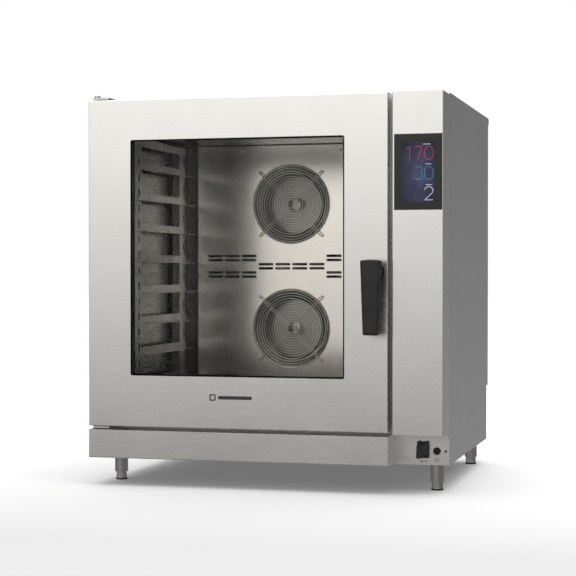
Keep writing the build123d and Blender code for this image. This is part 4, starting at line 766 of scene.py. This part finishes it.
# each bar: its left edge, its width, its drop below the screen's top
label_bars = [(0.0555, 0.0200, 0.0068), (0.0625, 0.0145, 0.0570), (0.0625, 0.0165, 0.1092)]
bars = [(rounded_slab(screen_left + left, screen_left + left + width, screen_top - drop - label_height,
                      screen_top - drop, line_y, line_y + film, corner=label_corner, steps=4), True, True)
        for left, width, drop in label_bars]
labels = made_piece("label_bars", bars, label_colour)
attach(labels, "root")

# ---------------------------------------------------------------------------------------------
# Power button, lamp and probe socket: black mouldings set in the lower front panel, and a small
# lamp of smoked plastic
# ---------------------------------------------------------------------------------------------
button_black = moulded_plastic("button_black", (0.006, 0.006, 0.006), (0.010, 0.010, 0.010), 0.35)
dress(button_black, "power_button", "button_bezel", "probe_socket")
dress(moulded_plastic("lamp_smoke", (0.008, 0.008, 0.009), (0.012, 0.012, 0.013), 0.12), "status_led")

# ---------------------------------------------------------------------------------------------
# Probe flap's cover: a soft black moulding with two ears at the hinge and one corner drawn down as
# a finger tab. It leans back at the top, so that it clears the panel as it lifts.
# ---------------------------------------------------------------------------------------------
flap_low, flap_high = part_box("probe_flap")
flap_black = moulded_plastic("flap_black", (0.012, 0.012, 0.012), (0.018, 0.018, 0.018), 0.42)


def rounded_outline(corners):
    """Corners (x, z, radius) joined by straight sides, each rounded by an arc that touches both its sides."""
    outline = []
    for at, (x, z, radius) in enumerate(corners):
        corner = np.array((x, z))
        before = np.array(corners[at - 1][:2]) - corner
        after = np.array(corners[(at + 1) % len(corners)][:2]) - corner
        before, after = before / np.linalg.norm(before), after / np.linalg.norm(after)
        half = np.arccos(np.clip(before @ after, -1, 1)) / 2
        middle = (before + after) / np.linalg.norm(before + after)
        start, end = corner + before * radius / np.tan(half), corner + after * radius / np.tan(half)
        centre = corner + middle * radius / np.sin(half)
        for share in np.linspace(0, 1, 6):
            spoke = (1 - share) * (start - centre) + share * (end - centre)
            outline.append(centre + spoke / np.linalg.norm(spoke) * radius)
    return np.array(outline)


def flap_rows(inset_rows, corners, centre, lean):
    """One row per (share, y, forward): the outline drawn in towards centre by share, at y. It leans back by
    nothing at the bottom, growing to forward times lean at three quarters of its height and above."""
    outline = rounded_outline(corners)
    height = np.ptp(outline[:, 1])
    rows = []
    for share, y, forward in inset_rows:
        flat = centre + (outline - centre) * share
        rise = (flat[:, 1] - outline[:, 1].min()) / (0.75 * height)
        back = forward * lean * np.clip(rise, 0, 1)
        rows.append(np.stack([flat[:, 0], y + back, flat[:, 1]], axis=1))
    return np.stack(rows)


flap_width, flap_drop = flap_high[0] - flap_low[0], flap_high[2] - flap_low[2]
left, right, top = flap_low[0] + 0.0008, flap_high[0] - 0.0014, flap_high[2] - 0.0004
notch = top - 0.0085
flap_corners = [(left + 0.0035, top, 0.0036), (left + 0.0120, top, 0.0034), (left + 0.0130, notch, 0.0012),
                (right - 0.0120, notch, 0.0012), (right - 0.0110, top, 0.0034), (right, top, 0.0036),
                (right, top - flap_drop * 0.74, 0.0040),
                (left + flap_width * 0.40, flap_low[2] + 0.0018, 0.0060),
                (left, flap_low[2] + 0.0004, 0.0040), (left + 0.0005, top - flap_drop * 0.30, 0.0050)]
flap_centre = np.array(((left + right) / 2, top - flap_drop * 0.5))
flap_front, flap_back = flap_low[1], flap_high[1] - 0.0045
flap_lean = 0.0062
flap_edges = [(0.96, flap_back, 0), (1.0, flap_back - 0.0008, 0), (1.0, flap_front + 0.0022, 0.9),
              (0.985, flap_front + 0.0009, 1), (0.95, flap_front + 0.0002, 1), (0.90, flap_front, 1)]
flap_shape = flap_rows(flap_edges, flap_corners, flap_centre, flap_lean)
cover = made_piece("flap_cover", [(flap_shape, True, True)], flap_black, sharp=40)
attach(cover, "probe_cover")
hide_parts("probe_flap")

# ---------------------------------------------------------------------------------------------
# Panel marks: an open ring with a stroke under the button, and a probe with its lead under the
# flap, both printed in dark grey on the lower front panel
# ---------------------------------------------------------------------------------------------
button_low, button_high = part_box("power_button")
panel_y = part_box("lower_front_panel")[0][1]
mark_y = panel_y - 0.00015
mark_drop, mark_radius, mark_line = 0.0225, 0.0052, 0.0014
mark_x = (button_low[0] + button_high[0]) / 2
mark_z = (button_low[2] + button_high[2]) / 2 - mark_drop
printed_grey = moulded_plastic("etched_grey", (0.02, 0.02, 0.02), (0.03, 0.03, 0.03), 0.5)
open_ring = oval(mark_x, mark_z, mark_radius, mark_radius, start=125, end=415, steps=30)
bar = line((mark_x, mark_z + 0.0012), (mark_x, mark_z + 0.0070))
power_mark = [(stroke(shape, mark_line, mark_y), True, True) for shape in (open_ring, bar)]

probe_x, probe_z = (flap_low[0] + flap_high[0]) / 2 + 0.002, flap_low[2] - 0.0070
lead_bend = oval(probe_x + 0.006, probe_z + 0.001, 0.0028, 0.0028, start=-60, end=130, steps=14)
probe_strokes = [(line((probe_x - 0.009, probe_z), (probe_x - 0.003, probe_z)), 0.0030),
                 (line((probe_x - 0.003, probe_z), (probe_x + 0.006, probe_z)), 0.0010), (lead_bend, 0.0008)]
probe_mark = [(stroke(shape, width, mark_y), True, True) for shape, width in probe_strokes]
for name, strokes in (("power_mark", power_mark), ("probe_mark", probe_mark)):
    mark = made_piece(name, strokes, printed_grey)
    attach(mark, "root")

# ---------------------------------------------------------------------------------------------
# Badge: a plain square frame and a bar below the window, each a thin film of dark grey print on
# the door's sheet
# ---------------------------------------------------------------------------------------------
badge_x, badge_z = -0.1310, 0.2410
badge_print = 0.0002
badge_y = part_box("door_skin")[0][1] - 0.00025
square_half, square_line = 0.0068, 0.0034
bar_start, bar_end, bar_half_height, bar_corner = 0.0150, 0.1070, 0.0045, 0.0030
square = [(badge_x + square_half * across, badge_z + square_half * up)
          for across, up in ((-1, -1), (1, -1), (1, 1), (-1, 1), (-1, -1))]
square_frame = stroke(line(*square)[:-1], square_line, badge_y, closed=True, thick=badge_print)
badge_bar = rounded_slab(badge_x + bar_start, badge_x + bar_end, badge_z - bar_half_height,
                         badge_z + bar_half_height, badge_y, badge_y + badge_print, corner=bar_corner,
                         steps=5)
badge = made_piece("plain_badge", [(square_frame, True, False), (badge_bar, True, True)], printed_grey)
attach(badge, "door")

# ---------------------------------------------------------------------------------------------
# Feet: turned stainless sleeves and threaded feet with a hexagon for the spanner. A black rubber
# pad is pressed onto the underside of each.
# ---------------------------------------------------------------------------------------------
foot_steel = brushed_steel("foot_steel", (0.50, 0.495, 0.48), 0.24, (30.0, 30.0, 900.0), spread=0.04,
                           depth=0.000002, smudge=0.02)
dress(foot_steel, "foot_sleeves")
pad_profile = [(0.0001, 0.0), (0.0150, 0.0), (0.0158, 0.0006), (0.0161, 0.0018), (0.0161, 0.0034),
               (0.0158, 0.0044), (0.0150, 0.0049), (0.0001, 0.0049)]
for corner in ("front_left", "front_right", "rear_left", "rear_right"):
    dress(foot_steel, f"foot_{corner}")
    foot_low, foot_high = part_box(f"foot_{corner}")
    foot_x, foot_y = (foot_low[0] + foot_high[0]) / 2, (foot_low[1] + foot_high[1]) / 2
    pad_shape = turned((foot_x, foot_y, foot_low[2]), (0, 0, 1), pad_profile, steps=64)
    pad = made_piece(f"pad_{corner}", [(pad_shape, True, True)], seal_rubber, sharp=40)
    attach(pad, f"{corner}_foot")

# ---------------------------------------------------------------------------------------------
# Services and electrics behind the covers: stainless drain and steam pipes with the steam flap,
# black nylon fittings, enamelled motors, green boards and mineral wool round the chamber
# ---------------------------------------------------------------------------------------------
tube_steel = brushed_steel("tube_steel", (0.58, 0.575, 0.565), 0.30, (80.0, 80.0, 80.0), spread=0.05)
dress(tube_steel, "drain_pipe", "vent_pipe")
dress(brushed_steel("flap_steel", (0.55, 0.545, 0.535), 0.28, along_x), "vent_flap")
black_nylon = moulded_plastic("black_nylon", (0.014, 0.014, 0.014), (0.022, 0.022, 0.022), 0.5)
dress(black_nylon, "cable_gland", "cooling_fan_frame", "cooling_fan_wheel", "vent_motor", "water_valves",
      "display_screen")
motor_enamel = moulded_plastic("motor_enamel", (0.05, 0.055, 0.06), (0.07, 0.075, 0.08), 0.4, grain=400.0,
                               depth=0.00006)
dress(motor_enamel, "fan_motors")
board_green = moulded_plastic("board_green", (0.01, 0.10, 0.04), (0.02, 0.14, 0.06), 0.35, grain=200.0,
                              depth=0.00002)
dress(board_green, "control_board", "power_board")
wool_yellow = moulded_plastic("wool_yellow", (0.45, 0.40, 0.24), (0.62, 0.56, 0.36), 0.95, grain=160.0,
                              depth=0.002)
dress(wool_yellow, "insulation")
